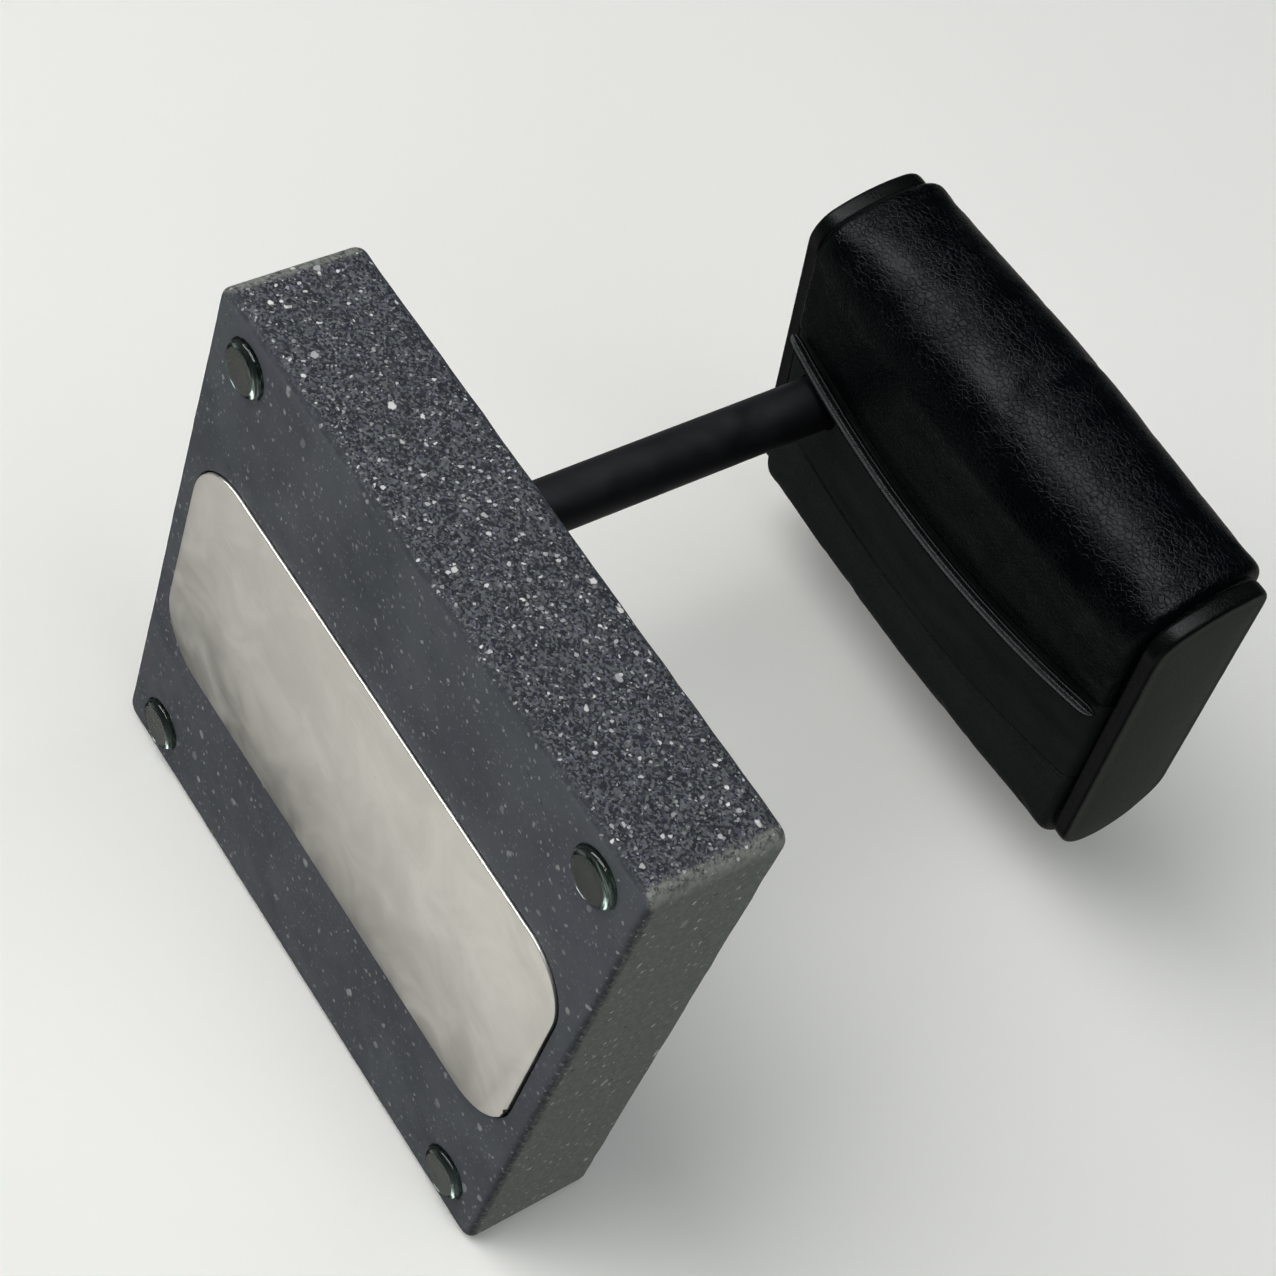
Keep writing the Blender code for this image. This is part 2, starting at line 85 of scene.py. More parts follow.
# Slab, plate, feet and post
BASE_SIDE = 94.0 * MM
STONE_BOTTOM = 1.1 * MM
STONE_TOP = 21.1 * MM
BASE_CORNER_R = 2.2 * MM
BASE_TOP_R = 1.8 * MM
BASE_BOTTOM_R = 1.2 * MM
POCKET_TOP = 2.3 * MM
FOOT_SEAT_R = 4.1 * MM
FOOT_SEAT_TOP = 1.8 * MM
SCREW_BORE_R = 6.0 * MM
SCREW_BORE_TOP = 9.99 * MM
POST_HOLE_R = 4.5 * MM
POST_HOLE_BOTTOM = 17.1 * MM
THREAD_R = 2.8 * MM
THREAD_DEPTH = 9.0 * MM
CUTTER_SPARE = 2.0 * MM
STONE_STEP = 1.5 * MM
EDGE_STEPS = 5
CHIP_SIZE = 3.2 * MM
CHIP_DEPTH = 0.28 * MM
PLATE_LENGTH = 86.0 * MM
PLATE_WIDTH = 41.0 * MM
PLATE_CORNER_R = 9.0 * MM
PLATE_Y = 0.6 * MM
POST_X = -27.6 * MM
POST_R = 4.2 * MM
POST_CHAMFER = 0.4 * MM
FEET = ("foot_front_left", "foot_front_right", "foot_back_left", "foot_back_right")
FOOT_NOSE_R = 0.16 * MM
FOOT_BEVEL_WIDTH = 0.62 * MM
FOOT_BEVEL_HEIGHT = 0.85 * MM
FOOT_BACK_BREAK = 0.12 * MM
PLATE_EDGE_R = 0.16 * MM
PLATE_BACK_BREAK = 0.1 * MM
PLATE_NICKS = ((12.5 * MM, 0.55 * MM, 0.55 * MM), (13.6 * MM, 0.4 * MM, 0.25 * MM))  # y, width, depth

# Meshes of the soft pieces
AROUND = 132
WRAP_STEPS = 76
ROLL_STEPS = 4
FACE_LONG = 96
FACE_SHORT = 30
DRUM_SWELL = 0.55 * MM
PANEL_SWELL = 0.40 * MM
FACE_LIFT = 0.18 * MM
FACE_CROWN = 0.72 * MM
WELT_TAPER = 2.4 * MM
WELT_RIDGE = 0.30
STRIP_FOLDS = ((0.42, 0.40, 0.13), (0.26, 0.80, 0.10), (-0.10, 0.62, 0.06))  # height, place, width
FOLD_HEIGHT = 0.85 * MM
SIM_SCALE = 10.0
SIM_FRAMES = 20

# Camera and stage
CAMERA_AT = Vector((130.5, -299.07, -141.25)) * MM
CAMERA_AIM = Vector((-3.84, 0.0, 49.45)) * MM
CAMERA_ROLL = math.radians(-66.92)
CAMERA_LENS = 78.83
STAGE_REACH = 6.0
STAGE_COLOR = (0.93, 0.93, 0.905)


# ---------------------------------------------------------------- nodes and materials

def new_material(name):
    mat = bpy.data.materials.new(name)
    mat.use_nodes = True
    return mat, mat.node_tree, mat.node_tree.nodes["Principled BSDF"]


def feed(tree, made, inputs):
    """Sets a node's inputs: a socket's name or number maps to a value or to another socket."""
    for socket, value in inputs.items():
        if isinstance(value, bpy.types.NodeSocket):
            tree.links.new(value, made.inputs[socket])
        else:
            made.inputs[socket].default_value = value


def node(tree, kind, inputs=None, **props):
    made = tree.nodes.new("ShaderNode" + kind)
    for key, value in props.items():
        setattr(made, key, value)
    feed(tree, made, inputs or {})
    return made


def coords(tree):
    return node(tree, "TexCoord").outputs["Object"]


def math_node(tree, operation, a, b=0.0, clamp=False):
    return node(tree, "Math", {0: a, 1: b}, operation=operation, use_clamp=clamp).outputs[0]


def times(tree, a, b):
    return math_node(tree, "MULTIPLY", a, b)


def noise_node(tree, where, size, detail=3.0, rough=0.55, distortion=0.0):
    """Fractal noise whose broad features are about size metres across."""
    inputs = {"Vector": where, "Scale": 1.0 / size, "Detail": detail, "Roughness": rough,
              "Distortion": distortion}
    return node(tree, "TexNoise", inputs).outputs["Fac"]


def ramp(tree, value, low, high, out_low=0.0, out_high=1.0, smooth=True):
    kind = "SMOOTHSTEP" if smooth else "LINEAR"
    inputs = {"Value": value, "From Min": low, "From Max": high, "To Min": out_low, "To Max": out_high}
    return node(tree, "MapRange", inputs, interpolation_type=kind).outputs["Result"]


def mix(tree, factor, a, b):
    """Mix of two colours; a and b are sockets or (r, g, b)."""
    a, b = [c if isinstance(c, bpy.types.NodeSocket) else (*c, 1.0) for c in (a, b)]
    return node(tree, "Mix", {0: factor, 6: a, 7: b}, data_type="RGBA").outputs[2]


def vector_node(tree, operation, a, b):
    return node(tree, "VectorMath", {0: a, 1: b}, operation=operation)


def voronoi(tree, where, cell, feature="F1"):
    return node(tree, "TexVoronoi", {"Vector": where, "Scale": 1.0 / cell}, feature=feature)


def warped(tree, where, size, amount):
    """Coordinates pushed about by noise, so that cells lose their straight edges."""
    wave = node(tree, "TexNoise", {"Vector": where, "Scale": 1.0 / size, "Detail": 2.0}).outputs["Color"]
    centred = vector_node(tree, "SUBTRACT", wave, (0.5, 0.5, 0.5)).outputs[0]
    pushed = node(tree, "VectorMath", {0: centred, "Scale": amount}, operation="SCALE").outputs[0]
    return vector_node(tree, "ADD", where, pushed).outputs[0]


def bump(tree, height, distance, strength=1.0, below=None):
    inputs = {"Height": height, "Distance": distance, "Strength": strength}
    if below is not None:
        inputs["Normal"] = below
    return node(tree, "Bump", inputs).outputs["Normal"]


def facing(tree, axis):
    """Component of the surface normal along an axis of the row frame, -1 to 1."""
    normal = node(tree, "NewGeometry").outputs["True Normal"]
    return node(tree, "SeparateXYZ", {0: normal}).outputs[axis]


def chips(tree, where, cell, share, small, large, stretch=(1.0, 1.0, 1.0)):
    """Scattered mineral chips: (mask, random tone). share of the cells hold one; radii in cells."""
    placed = {"Vector": where, "Rotation": (0.5, 0.9, 0.3), "Scale": stretch}
    where_turned = node(tree, "Mapping", placed).outputs[0]
    cells = voronoi(tree, where_turned, cell)
    tone = node(tree, "SeparateColor", {0: cells.outputs["Color"]})
    there = math_node(tree, "LESS_THAN", tone.outputs[0], share)
    radius = ramp(tree, tone.outputs[1], 0.0, 1.0, small, large, smooth=False)
    inside = math_node(tree, "SUBTRACT", radius, cells.outputs["Distance"])
    edge = ramp(tree, inside, 0.0, 0.05)
    return times(tree, edge, there), tone.outputs[2]


def pale_and_shaded_edges(tree):
    """Masks: 1 along the slab's upright edges, which are made paler, and 1 along its level edges, which
    get painted shade; 0 on its flat faces.
    """
    normal = node(tree, "NewGeometry").outputs["Normal"]
    x, y, z = node(tree, "SeparateXYZ", {0: normal}).outputs
    upright = math_node(tree, "ABSOLUTE", times(tree, x, y))
    level = math_node(tree, "ABSOLUTE", times(tree, math_node(tree, "ADD", x, y), z))
    return ramp(tree, upright, 0.02, 0.26), ramp(tree, level, 0.10, 0.42)


def stone_material():
    mat, tree, shader = new_material("stone_finish")
    where = coords(tree)
    rough_where = warped(tree, where, 1.2 * MM, 0.9 * MM)
    under = ramp(tree, facing(tree, 2), -0.55, -0.9)
    top = ramp(tree, facing(tree, 2), 0.55, 0.9)
    honed = math_node(tree, "ADD", under, top, clamp=True)
    end = ramp(tree, facing(tree, 0), 0.5, 0.9)
    calm = math_node(tree, "MAXIMUM", honed, times(tree, end, 0.38))

    grain_cells = voronoi(tree, rough_where, 0.30 * MM)
    grain_tones = node(tree, "SeparateColor", {0: grain_cells.outputs["Color"]})
    grain = grain_tones.outputs[0]
    pale_grain = mix(tree, grain_tones.outputs[1], (0.118, 0.120, 0.160), (0.112, 0.128, 0.112))
    mottle = noise_node(tree, where, 0.9 * MM, 4.0, 0.7)
    cloud = noise_node(tree, where, 17.0 * MM, 3.0, 0.5, 0.6)
    tint = noise_node(tree, where, 26.0 * MM, 2.0, 0.5, 0.3)

    side = mix(tree, ramp(tree, grain, 0.25, 1.0), (0.0055, 0.0070, 0.0110), pale_grain)
    side = mix(tree, ramp(tree, mottle, 0.4, 0.8, 0.0, 0.7), side, (0.040, 0.045, 0.060))
    # The X+ end: a greener, lower-contrast finish of its own, and lighter as painted light standing in
    # for the key light it faces away from.
    end_side_with_painted_light = mix(tree, ramp(tree, mottle, 0.3, 0.75), (0.165, 0.182, 0.164), (0.265, 0.280, 0.250))
    side = mix(tree, times(tree, end, 0.85), side, end_side_with_painted_light)
    flat = mix(tree, ramp(tree, cloud, 0.3, 0.7), (0.058, 0.066, 0.076), (0.088, 0.098, 0.112))
    flat = mix(tree, ramp(tree, tint, 0.35, 0.7, 0.0, 0.5), flat, (0.084, 0.082, 0.108))
    flat = mix(tree, ramp(tree, cloud, 0.55, 0.8, 0.0, 0.5), flat, (0.060, 0.080, 0.078))
    color = mix(tree, honed, side, flat)
    upright, level = pale_and_shaded_edges(tree)
    pale = times(tree, upright, ramp(tree, mottle, 0.36, 0.60, 0.08, 0.85))
    color = mix(tree, pale, color, (0.225, 0.236, 0.205))
    # Painted shade along the level edges.
    shady = times(tree, level, ramp(tree, mottle, 0.35, 0.65, 0.75, 0.2))
    color = mix(tree, shady, color, (0.030, 0.034, 0.040))
    chip_where = warped(tree, rough_where, 0.4 * MM, 0.34 * MM)

    big, big_tone = chips(tree, chip_where, 3.6 * MM, 0.66, 0.06, 0.21, (1.0, 0.8, 1.25))
    medium, medium_tone = chips(tree, chip_where, 1.25 * MM, 0.85, 0.10, 0.28, (1.1, 0.85, 1.0))
    small, small_tone = chips(tree, chip_where, 0.7 * MM, 0.70, 0.14, 0.36)
    dark, _ = chips(tree, chip_where, 2.2 * MM, 0.6, 0.08, 0.17, (0.9, 1.2, 1.0))
    show = ramp(tree, calm, 0.0, 1.0, 1.0, 0.34, smooth=False)
    edge_zone = noise_node(tree, where, 9.0 * MM, 2.0)
    show = times(tree, show, ramp(tree, edge_zone, 0.25, 0.6, 0.75, 1.0))
    for mask, tone, low, high, amount in (
        (small, small_tone, (0.10, 0.11, 0.12), (0.42, 0.43, 0.45), 0.75),
        (medium, medium_tone, (0.20, 0.21, 0.22), (0.78, 0.79, 0.80), 0.9),
        (big, big_tone, (0.34, 0.35, 0.35), (0.80, 0.80, 0.78), 0.95),
    ):
        strength = times(tree, times(tree, mask, show), amount)
        color = mix(tree, strength, color, mix(tree, tone, low, high))
    strength = times(tree, times(tree, dark, show), 0.8)
    color = mix(tree, strength, color, (0.012, 0.013, 0.018))

    worn = noise_node(tree, where, 5.0 * MM, 4.0, 0.6)
    side_rough = ramp(tree, mottle, 0.3, 0.8, 0.58, 0.82)
    flat_rough = ramp(tree, worn, 0.3, 0.75, 0.46, 0.66)
    rough = node(tree, "Mix", {0: honed, 2: side_rough, 3: flat_rough}, data_type="FLOAT").outputs[0]

    pits = math_node(tree, "SUBTRACT", 1.0, dark)
    gritty = math_node(tree, "ADD", times(tree, grain, 0.5), mottle)
    gritty = times(tree, gritty, ramp(tree, calm, 0.0, 1.0, 1.0, 0.12, smooth=False))
    normal = bump(tree, gritty, 0.05 * MM, 0.9)
    normal = bump(tree, pits, 0.08 * MM, 0.5, normal)
    feed(tree, shader, {"Base Color": color, "Roughness": rough, "Specular IOR Level": 0.12,
                        "Normal": normal})
    return mat


def steel_material():
    mat, tree, shader = new_material("plate_finish")
    where = coords(tree)
    brushed = node(tree, "Mapping", {"Vector": where, "Scale": (0.06, 1.0, 1.0)}).outputs[0]
    lines = noise_node(tree, brushed, 0.16 * MM, 3.0, 0.6)
    stain = noise_node(tree, where, 11.0 * MM, 4.0, 0.6, 0.8)
    spots = noise_node(tree, where, 1.6 * MM, 3.0, 0.6)
    slanted = {"Vector": where, "Rotation": (0.0, 0.0, 0.9), "Scale": (0.05, 1.0, 1.0)}
    scratch_where = node(tree, "Mapping", slanted).outputs[0]
    scratches = ramp(tree, noise_node(tree, scratch_where, 0.5 * MM, 1.0, 0.4), 0.70, 0.78)
    color = mix(tree, ramp(tree, stain, 0.3, 0.75), (0.72, 0.704, 0.652), (0.88, 0.866, 0.806))
    color = mix(tree, ramp(tree, spots, 0.68, 0.80, 0.0, 0.35), color, (0.52, 0.50, 0.44))
    color = mix(tree, times(tree, scratches, 0.4), color, (0.95, 0.94, 0.90))
    across = node(tree, "SeparateXYZ", {0: where}).outputs[0]
    color = mix(tree, ramp(tree, across, -0.04, 0.045, 0.16, 0.0), color, (0.45, 0.43, 0.39))
    gloss = ramp(tree, stain, 0.25, 0.8, 0.30, 0.44)
    normal = bump(tree, lines, 0.006 * MM, 0.6)
    normal = bump(tree, scratches, 0.01 * MM, 0.5, normal)
    feed(tree, shader, {"Base Color": color, "Metallic": 1.0, "Anisotropic": 0.35, "Roughness": gloss,
                        "Normal": normal})
    return mat


def underside_zone(tree, where):
    """1 on the head's underside behind the slot, where the leather is dull; fades out round its back."""
    across = HEAD_TURN @ Vector((0.0, 1.0, 0.0))
    through = HEAD_TURN @ Vector((0.0, 0.0, 1.0))
    from_head = vector_node(tree, "SUBTRACT", where, tuple(HEAD_AT)).outputs[0]
    y = vector_node(tree, "DOT_PRODUCT", from_head, tuple(across)).outputs["Value"]
    z = vector_node(tree, "DOT_PRODUCT", from_head, tuple(through)).outputs["Value"]
    behind = ramp(tree, y, 2.0 * MM, 6.0 * MM)
    return times(tree, behind, ramp(tree, z, -1.0 * MM, -7.0 * MM))


def leather_material(name, color, deep, cell, crease, roughness, grain, specular, dull=None, rim=None):
    """Leather with creased cells, pores and slow variation in gloss.

    dull is the colour of the duller zone under the head; rim is the colour of a glossier turned edge.
    """
    mat, tree, shader = new_material(name)
    where = coords(tree)
    moved = warped(tree, where, cell * 1.6, cell * 0.9)
    creases = voronoi(tree, moved, cell, "DISTANCE_TO_EDGE")
    fine = voronoi(tree, moved, cell / 2.6, "DISTANCE_TO_EDGE")
    hollow = ramp(tree, creases.outputs["Distance"], 0.0, 0.16)
    fine_hollow = ramp(tree, fine.outputs["Distance"], 0.0, 0.2)
    pores = noise_node(tree, where, 0.16 * MM, 3.0, 0.65)
    broad = noise_node(tree, where, 7.0 * MM, 4.0, 0.6, 0.4)
    patch = ramp(tree, noise_node(tree, where, 5.0 * MM, 3.0, 0.6), 0.3, 0.7, 0.35, 1.0)
    tone = mix(tree, ramp(tree, broad, 0.3, 0.75), deep, color)
    gloss = ramp(tree, broad, 0.25, 0.8, roughness - 0.05, roughness + 0.07)
    if dull:
        zone = underside_zone(tree, where)
        dull_tone = mix(tree, ramp(tree, broad, 0.3, 0.75), [0.75 * c for c in dull], dull)
        tone = mix(tree, zone, tone, dull_tone)
        gloss = math_node(tree, "ADD", gloss, times(tree, zone, 0.22))
    if rim:
        face = ramp(tree, math_node(tree, "ABSOLUTE", facing(tree, 0)), 0.72, 0.95)
        tone = mix(tree, face, rim, tone)
        gloss = math_node(tree, "SUBTRACT", gloss, ramp(tree, face, 0.0, 1.0, 0.30, 0.0))
    gloss = math_node(tree, "ADD", gloss, ramp(tree, hollow, 0.0, 1.0, 0.12, 0.0))
    height = math_node(tree, "ADD", hollow, times(tree, fine_hollow, 0.35))
    normal = bump(tree, times(tree, height, patch), crease, 1.0)
    normal = bump(tree, pores, grain, 0.5, normal)
    feed(tree, shader, {"Base Color": tone, "Roughness": gloss, "Specular IOR Level": specular,
                        "Normal": normal})
    return mat


def rod_material():
    mat, tree, shader = new_material("rod_finish")
    where = coords(tree)
    smudge = noise_node(tree, where, 9.0 * MM, 4.0, 0.6, 0.7)
    powder = noise_node(tree, where, 0.12 * MM, 3.0, 0.6)
    feed(tree, shader, {
        "Base Color": mix(tree, smudge, (0.0030, 0.0033, 0.0045), (0.0055, 0.0058, 0.0072)),
        "Roughness": ramp(tree, smudge, 0.3, 0.75, 0.40, 0.56),
        "Specular IOR Level": 0.2,
        "Normal": bump(tree, powder, 0.012 * MM, 0.6),
    })
    return mat


def foot_material():
    mat, tree, shader = new_material("foot_finish")
    where = coords(tree)
    wear = noise_node(tree, where, 1.5 * MM, 4.0, 0.6)
    feed(tree, shader, {
        "Base Color": (0.26, 0.34, 0.30, 1.0),
        "Transmission Weight": 1.0,
        "IOR": 1.30,
        "Roughness": ramp(tree, wear, 0.3, 0.8, 0.04, 0.16),
        "Normal": bump(tree, wear, 0.03 * MM, 0.35),
    })
    return mat


def plain_material(name, low, high, size, roughness, metallic=0.0, stretch=(1.0, 1.0, 1.0),
                   depth=0.05 * MM):
    """Finish of an enclosed piece: grain of its own size, in colour, gloss and relief."""
    mat, tree, shader = new_material(name)
    where = node(tree, "Mapping", {"Vector": coords(tree), "Scale": stretch}).outputs[0]
    grain = noise_node(tree, where, size, 4.0, 0.6, 0.3)
    feed(tree, shader, {
        "Base Color": mix(tree, ramp(tree, grain, 0.3, 0.7), low, high),
        "Roughness": ramp(tree, grain, 0.2, 0.8, roughness - 0.08, roughness + 0.08),
        "Metallic": metallic,
        "Normal": bump(tree, grain, depth, 0.6),
    })
    return mat


def shade_core_ends(mat):
    """Painted shade: black over the last few millimetres of the head's core, where the joints could show
    it.
    """
    tree = mat.node_tree
    shader = tree.nodes["Principled BSDF"]
    x = node(tree, "SeparateXYZ", {0: coords(tree)}).outputs[0]
    from_middle = math_node(tree, "ABSOLUTE", math_node(tree, "SUBTRACT", x, HEAD_AT.x))
    bare = shader.inputs["Base Color"].links[0].from_socket
    core_end_shade = mix(tree, ramp(tree, from_middle, 28.0 * MM, 31.0 * MM), bare, (0.004, 0.004, 0.004))
    feed(tree, shader, {"Base Color": core_end_shade})


def one_sided(name, color):
    """A stage surface seen from its front only: from behind it is clear."""
    mat, tree, shader = new_material(name)
    where = coords(tree)
    tone = noise_node(tree, where, 0.09, 2.0)
    feed(tree, shader, {"Base Color": mix(tree, tone, [c * 0.975 for c in color], color),
                        "Roughness": 1.0, "Specular IOR Level": 0.0})
    back = node(tree, "NewGeometry").outputs["Backfacing"]
    clear = node(tree, "BsdfTransparent").outputs[0]
    joined = node(tree, "MixShader", {0: back, 1: shader.outputs[0], 2: clear}).outputs[0]
    feed(tree, tree.nodes["Material Output"], {"Surface": joined})
    return mat


# ---------------------------------------------------------------- shapes

def arc(centre, radius, start, end, steps):
    span = [start + (end - start) * i / steps for i in range(steps + 1)]
    return [(centre[0] + radius * math.cos(a), centre[1] + radius * math.sin(a)) for a in span]


def front_corner(radius, sign):
    """Centre of a front corner arc and the angle where it meets the bowed front."""
    bow_centre = PANEL_FRONT_BOW_R - PANEL_WIDTH / 2
    rise = PANEL_HEIGHT / 2 - radius
    reach = math.sqrt((PANEL_FRONT_BOW_R - radius) ** 2 - rise ** 2)
    return (bow_centre - reach, sign * rise), math.pi - math.asin(rise / (PANEL_FRONT_BOW_R - radius))


def outline(offset):
    """Cross-section of the head as an open run, from the underside's back end round to its front end."""
    back = PANEL_WIDTH / 2 - PANEL_BACK_R
    rise = PANEL_HEIGHT / 2 - PANEL_BACK_R
    top_centre, top_angle = front_corner(PANEL_FRONT_TOP_R, 1)
    low_centre, low_angle = front_corner(PANEL_FRONT_BOTTOM_R, -1)
    half = math.pi / 2
    points = arc((back, -rise), PANEL_BACK_R + offset, -half, 0.0, 24)
    points += arc((back, rise), PANEL_BACK_R + offset, 0.0, half, 24)
    points += arc(top_centre, PANEL_FRONT_TOP_R + offset, half, top_angle, 20)
    bow_centre = (PANEL_FRONT_BOW_R - PANEL_WIDTH / 2, 0.0)
    points += arc(bow_centre, PANEL_FRONT_BOW_R + offset, top_angle, 2 * math.pi - low_angle, 16)
    points += arc(low_centre, PANEL_FRONT_BOTTOM_R + offset, 2 * math.pi - low_angle, 3 * half, 20)
    return points


def spaced(points, count):
    """count + 1 points at even steps of length along a run."""
    run = np.array(points)
    lengths = np.concatenate([[0.0], np.cumsum(np.linalg.norm(np.diff(run, axis=0), axis=1))])
    places = np.linspace(0.0, lengths[-1], count + 1)
    return np.stack([np.interp(places, lengths, run[:, i]) for i in range(run.shape[1])], axis=1)


def along(x):
    return min(1.0, abs(x) / WRAP_END)


def piping_y(x):
    return PIPING_Y - PIPING_BOW * along(x) ** 2


def slot_front_y(x):
    return piping_y(x) - PIPING_R - GAP


def slot_back_y(x):
    return SLOT_BACK_Y - SLOT_BACK_BOW * along(x) ** 2


def wrap_rise(x):
    """How far the wrap's outside stands out from the panels' outline."""
    full = WRAP_END - WRAP_ROLL_R
    if abs(x) > full:
        run = (abs(x) - full) / WRAP_ROLL_R
        return WRAP_END_RISE - WRAP_ROLL_R * (1 - math.sqrt(max(0.0, 1 - run ** 2)))
    return WRAP_END_RISE + (WRAP_MID_RISE - WRAP_END_RISE) * (1 - (x / full) ** 2)


def stations(inner_steps, roll_steps):
    full = WRAP_END - WRAP_ROLL_R
    places = [full * (2 * i / inner_steps - 1) for i in range(inner_steps + 1)]
    for i in range(1, roll_steps + 1):
        x = full + WRAP_ROLL_R * math.sin(math.pi / 2 * i / roll_steps)
        places = [-x] + places + [x]
    return places


def wave(x, y, z, size, seed):
    """Smooth noise, about -1 to 1, whose features are size metres across."""
    return noise.noise(Vector((x / size + seed, y / size - seed, z / size + 2 * seed)))


def on_head(point):
    return HEAD_AT + HEAD_TURN @ Vector(point)


def link_object(name, data):
    obj = bpy.data.objects.new(name, data)
    bpy.context.scene.collection.objects.link(obj)
    return obj


def add_object(name, verts, faces, materials, smooth=True):
    mesh = bpy.data.meshes.new(name)
    mesh.from_pydata([tuple(v) for v in verts], [], faces)
    bm = bmesh.new()
    bm.from_mesh(mesh)
    bmesh.ops.recalc_face_normals(bm, faces=bm.faces)
    bm.to_mesh(mesh)
    bm.free()
    if smooth:
        mesh.shade_smooth()
    for mat in materials:
        mesh.materials.append(mat)
    return link_object(name, mesh)


def circle(radius, steps):
    return [(radius * math.cos(2 * math.pi * i / steps), radius * math.sin(2 * math.pi * i / steps))
            for i in range(steps)]


def grid_faces(rows, columns, closed=False):
    faces = []
    for i in range(rows - 1):
        for j in range(columns if closed else columns - 1):
            k = (j + 1) % columns
            here, above = i * columns, (i + 1) * columns
            faces.append((here + j, here + k, above + k, above + j))
    return faces


def turned(name, profile, mat, place, steps):
    """A turned closed piece, from (radius, height) pairs that start and end on its vertical axis."""
    ring = circle(1.0, steps)
    middle = profile[1:-1]
    verts = [(place[0] + r * c, place[1] + r * s, z) for r, z in middle for c, s in ring]
    faces = grid_faces(len(middle), steps, closed=True)
    for row, height in ((0, profile[0][1]), (len(middle) - 1, profile[-1][1])):
        tip = len(verts)
        verts.append((place[0], place[1], height))
        start = row * steps
        faces += [(tip, start + i, start + (i + 1) % steps) for i in range(steps)]
    return add_object(name, verts, faces, [mat])


def rounded_rect(length, width, radius, inset, steps):
    """Rounded rectangle about the origin, its corner radius drawn in by inset."""
    points = []
    for sx, sy, start in ((1, 1, 0.0), (-1, 1, 0.5), (-1, -1, 1.0), (1, -1, 1.5)):
        for i in range(steps + 1):
            angle = math.pi * (start + 0.5 * i / steps)
            x = sx * (length / 2 - radius) + (radius - inset) * math.cos(angle)
            y = sy * (width / 2 - radius) + (radius - inset) * math.sin(angle)
            points.append((x, y))
    return points


def prism(name, ring, low, high, place=(0.0, 0.0)):
    """A straight-sided cutter."""
    count = len(ring)
    verts = [(place[0] + x, place[1] + y, z) for z in (low, high) for x, y in ring]
    faces = grid_faces(2, count, closed=True)
    faces += [tuple(range(count)), tuple(range(count, 2 * count))]
    return add_object(name, verts, faces, [], smooth=False)


def cut(target, cutters):
    for cutter in cutters:
        step = target.modifiers.new(cutter.name, "BOOLEAN")
        step.operation = "DIFFERENCE"
        step.solver = "EXACT"
        step.object = cutter
    settle(target)
    for cutter in cutters:
        bpy.data.objects.remove(cutter, do_unlink=True)


def settle(obj):
    """Applies every modifier."""
    bpy.context.view_layer.update()
    shape = obj.evaluated_get(bpy.context.evaluated_depsgraph_get())
    mesh = bpy.data.meshes.new_from_object(shape)
    obj.modifiers.clear()
    obj.data = mesh


def settled_on(obj, slot, *stood_for):
    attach(obj, "root")
    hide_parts(*stood_for)
    return obj


# ---------------------------------------------------------------- slab, plate, feet, post

def slab_places(half, radius, fine, coarse):
    """Positions along one side of the slab: close together in the rounded edges, even in between."""
    edge = [half - radius * (1 - math.sin(math.pi / 2 * i / fine)) for i in range(fine + 1)]
    steps = round(2 * (half - radius) / coarse)
    inner = [(half - radius) * (2 * i / steps - 1) for i in range(1, steps)]
    return [-p for p in reversed(edge)] + inner + edge


def rounded_slab_point(x, y, z, half, low, high):
    """Draws a point of the plain box onto the box with rounded edges and slightly worn arrises."""
    worn = 1.0 + 0.14 * wave(x, y, z, 4.0 * MM, 3.1)
    flat_r = BASE_CORNER_R
    edge_r = (BASE_TOP_R if z > (low + high) / 2 else BASE_BOTTOM_R) * worn
    cx = max(-half + flat_r, min(half - flat_r, x))
    cy = max(-half + flat_r, min(half - flat_r, y))
    away = Vector((x - cx, y - cy))
    if away.length > flat_r:
        away = away.normalized() * flat_r
    out = away.length
    cz = max(low + edge_r, min(high - edge_r, z))
    rise = z - cz
    over = out - (flat_r - edge_r)
    if over > 0 and abs(rise) > 0:
        reach = math.hypot(over, rise)
        if reach > edge_r:
            over *= edge_r / reach
            rise *= edge_r / reach
            away = away.normalized() * (flat_r - edge_r + over)
    return Vector((cx + away.x, cy + away.y, cz + rise))


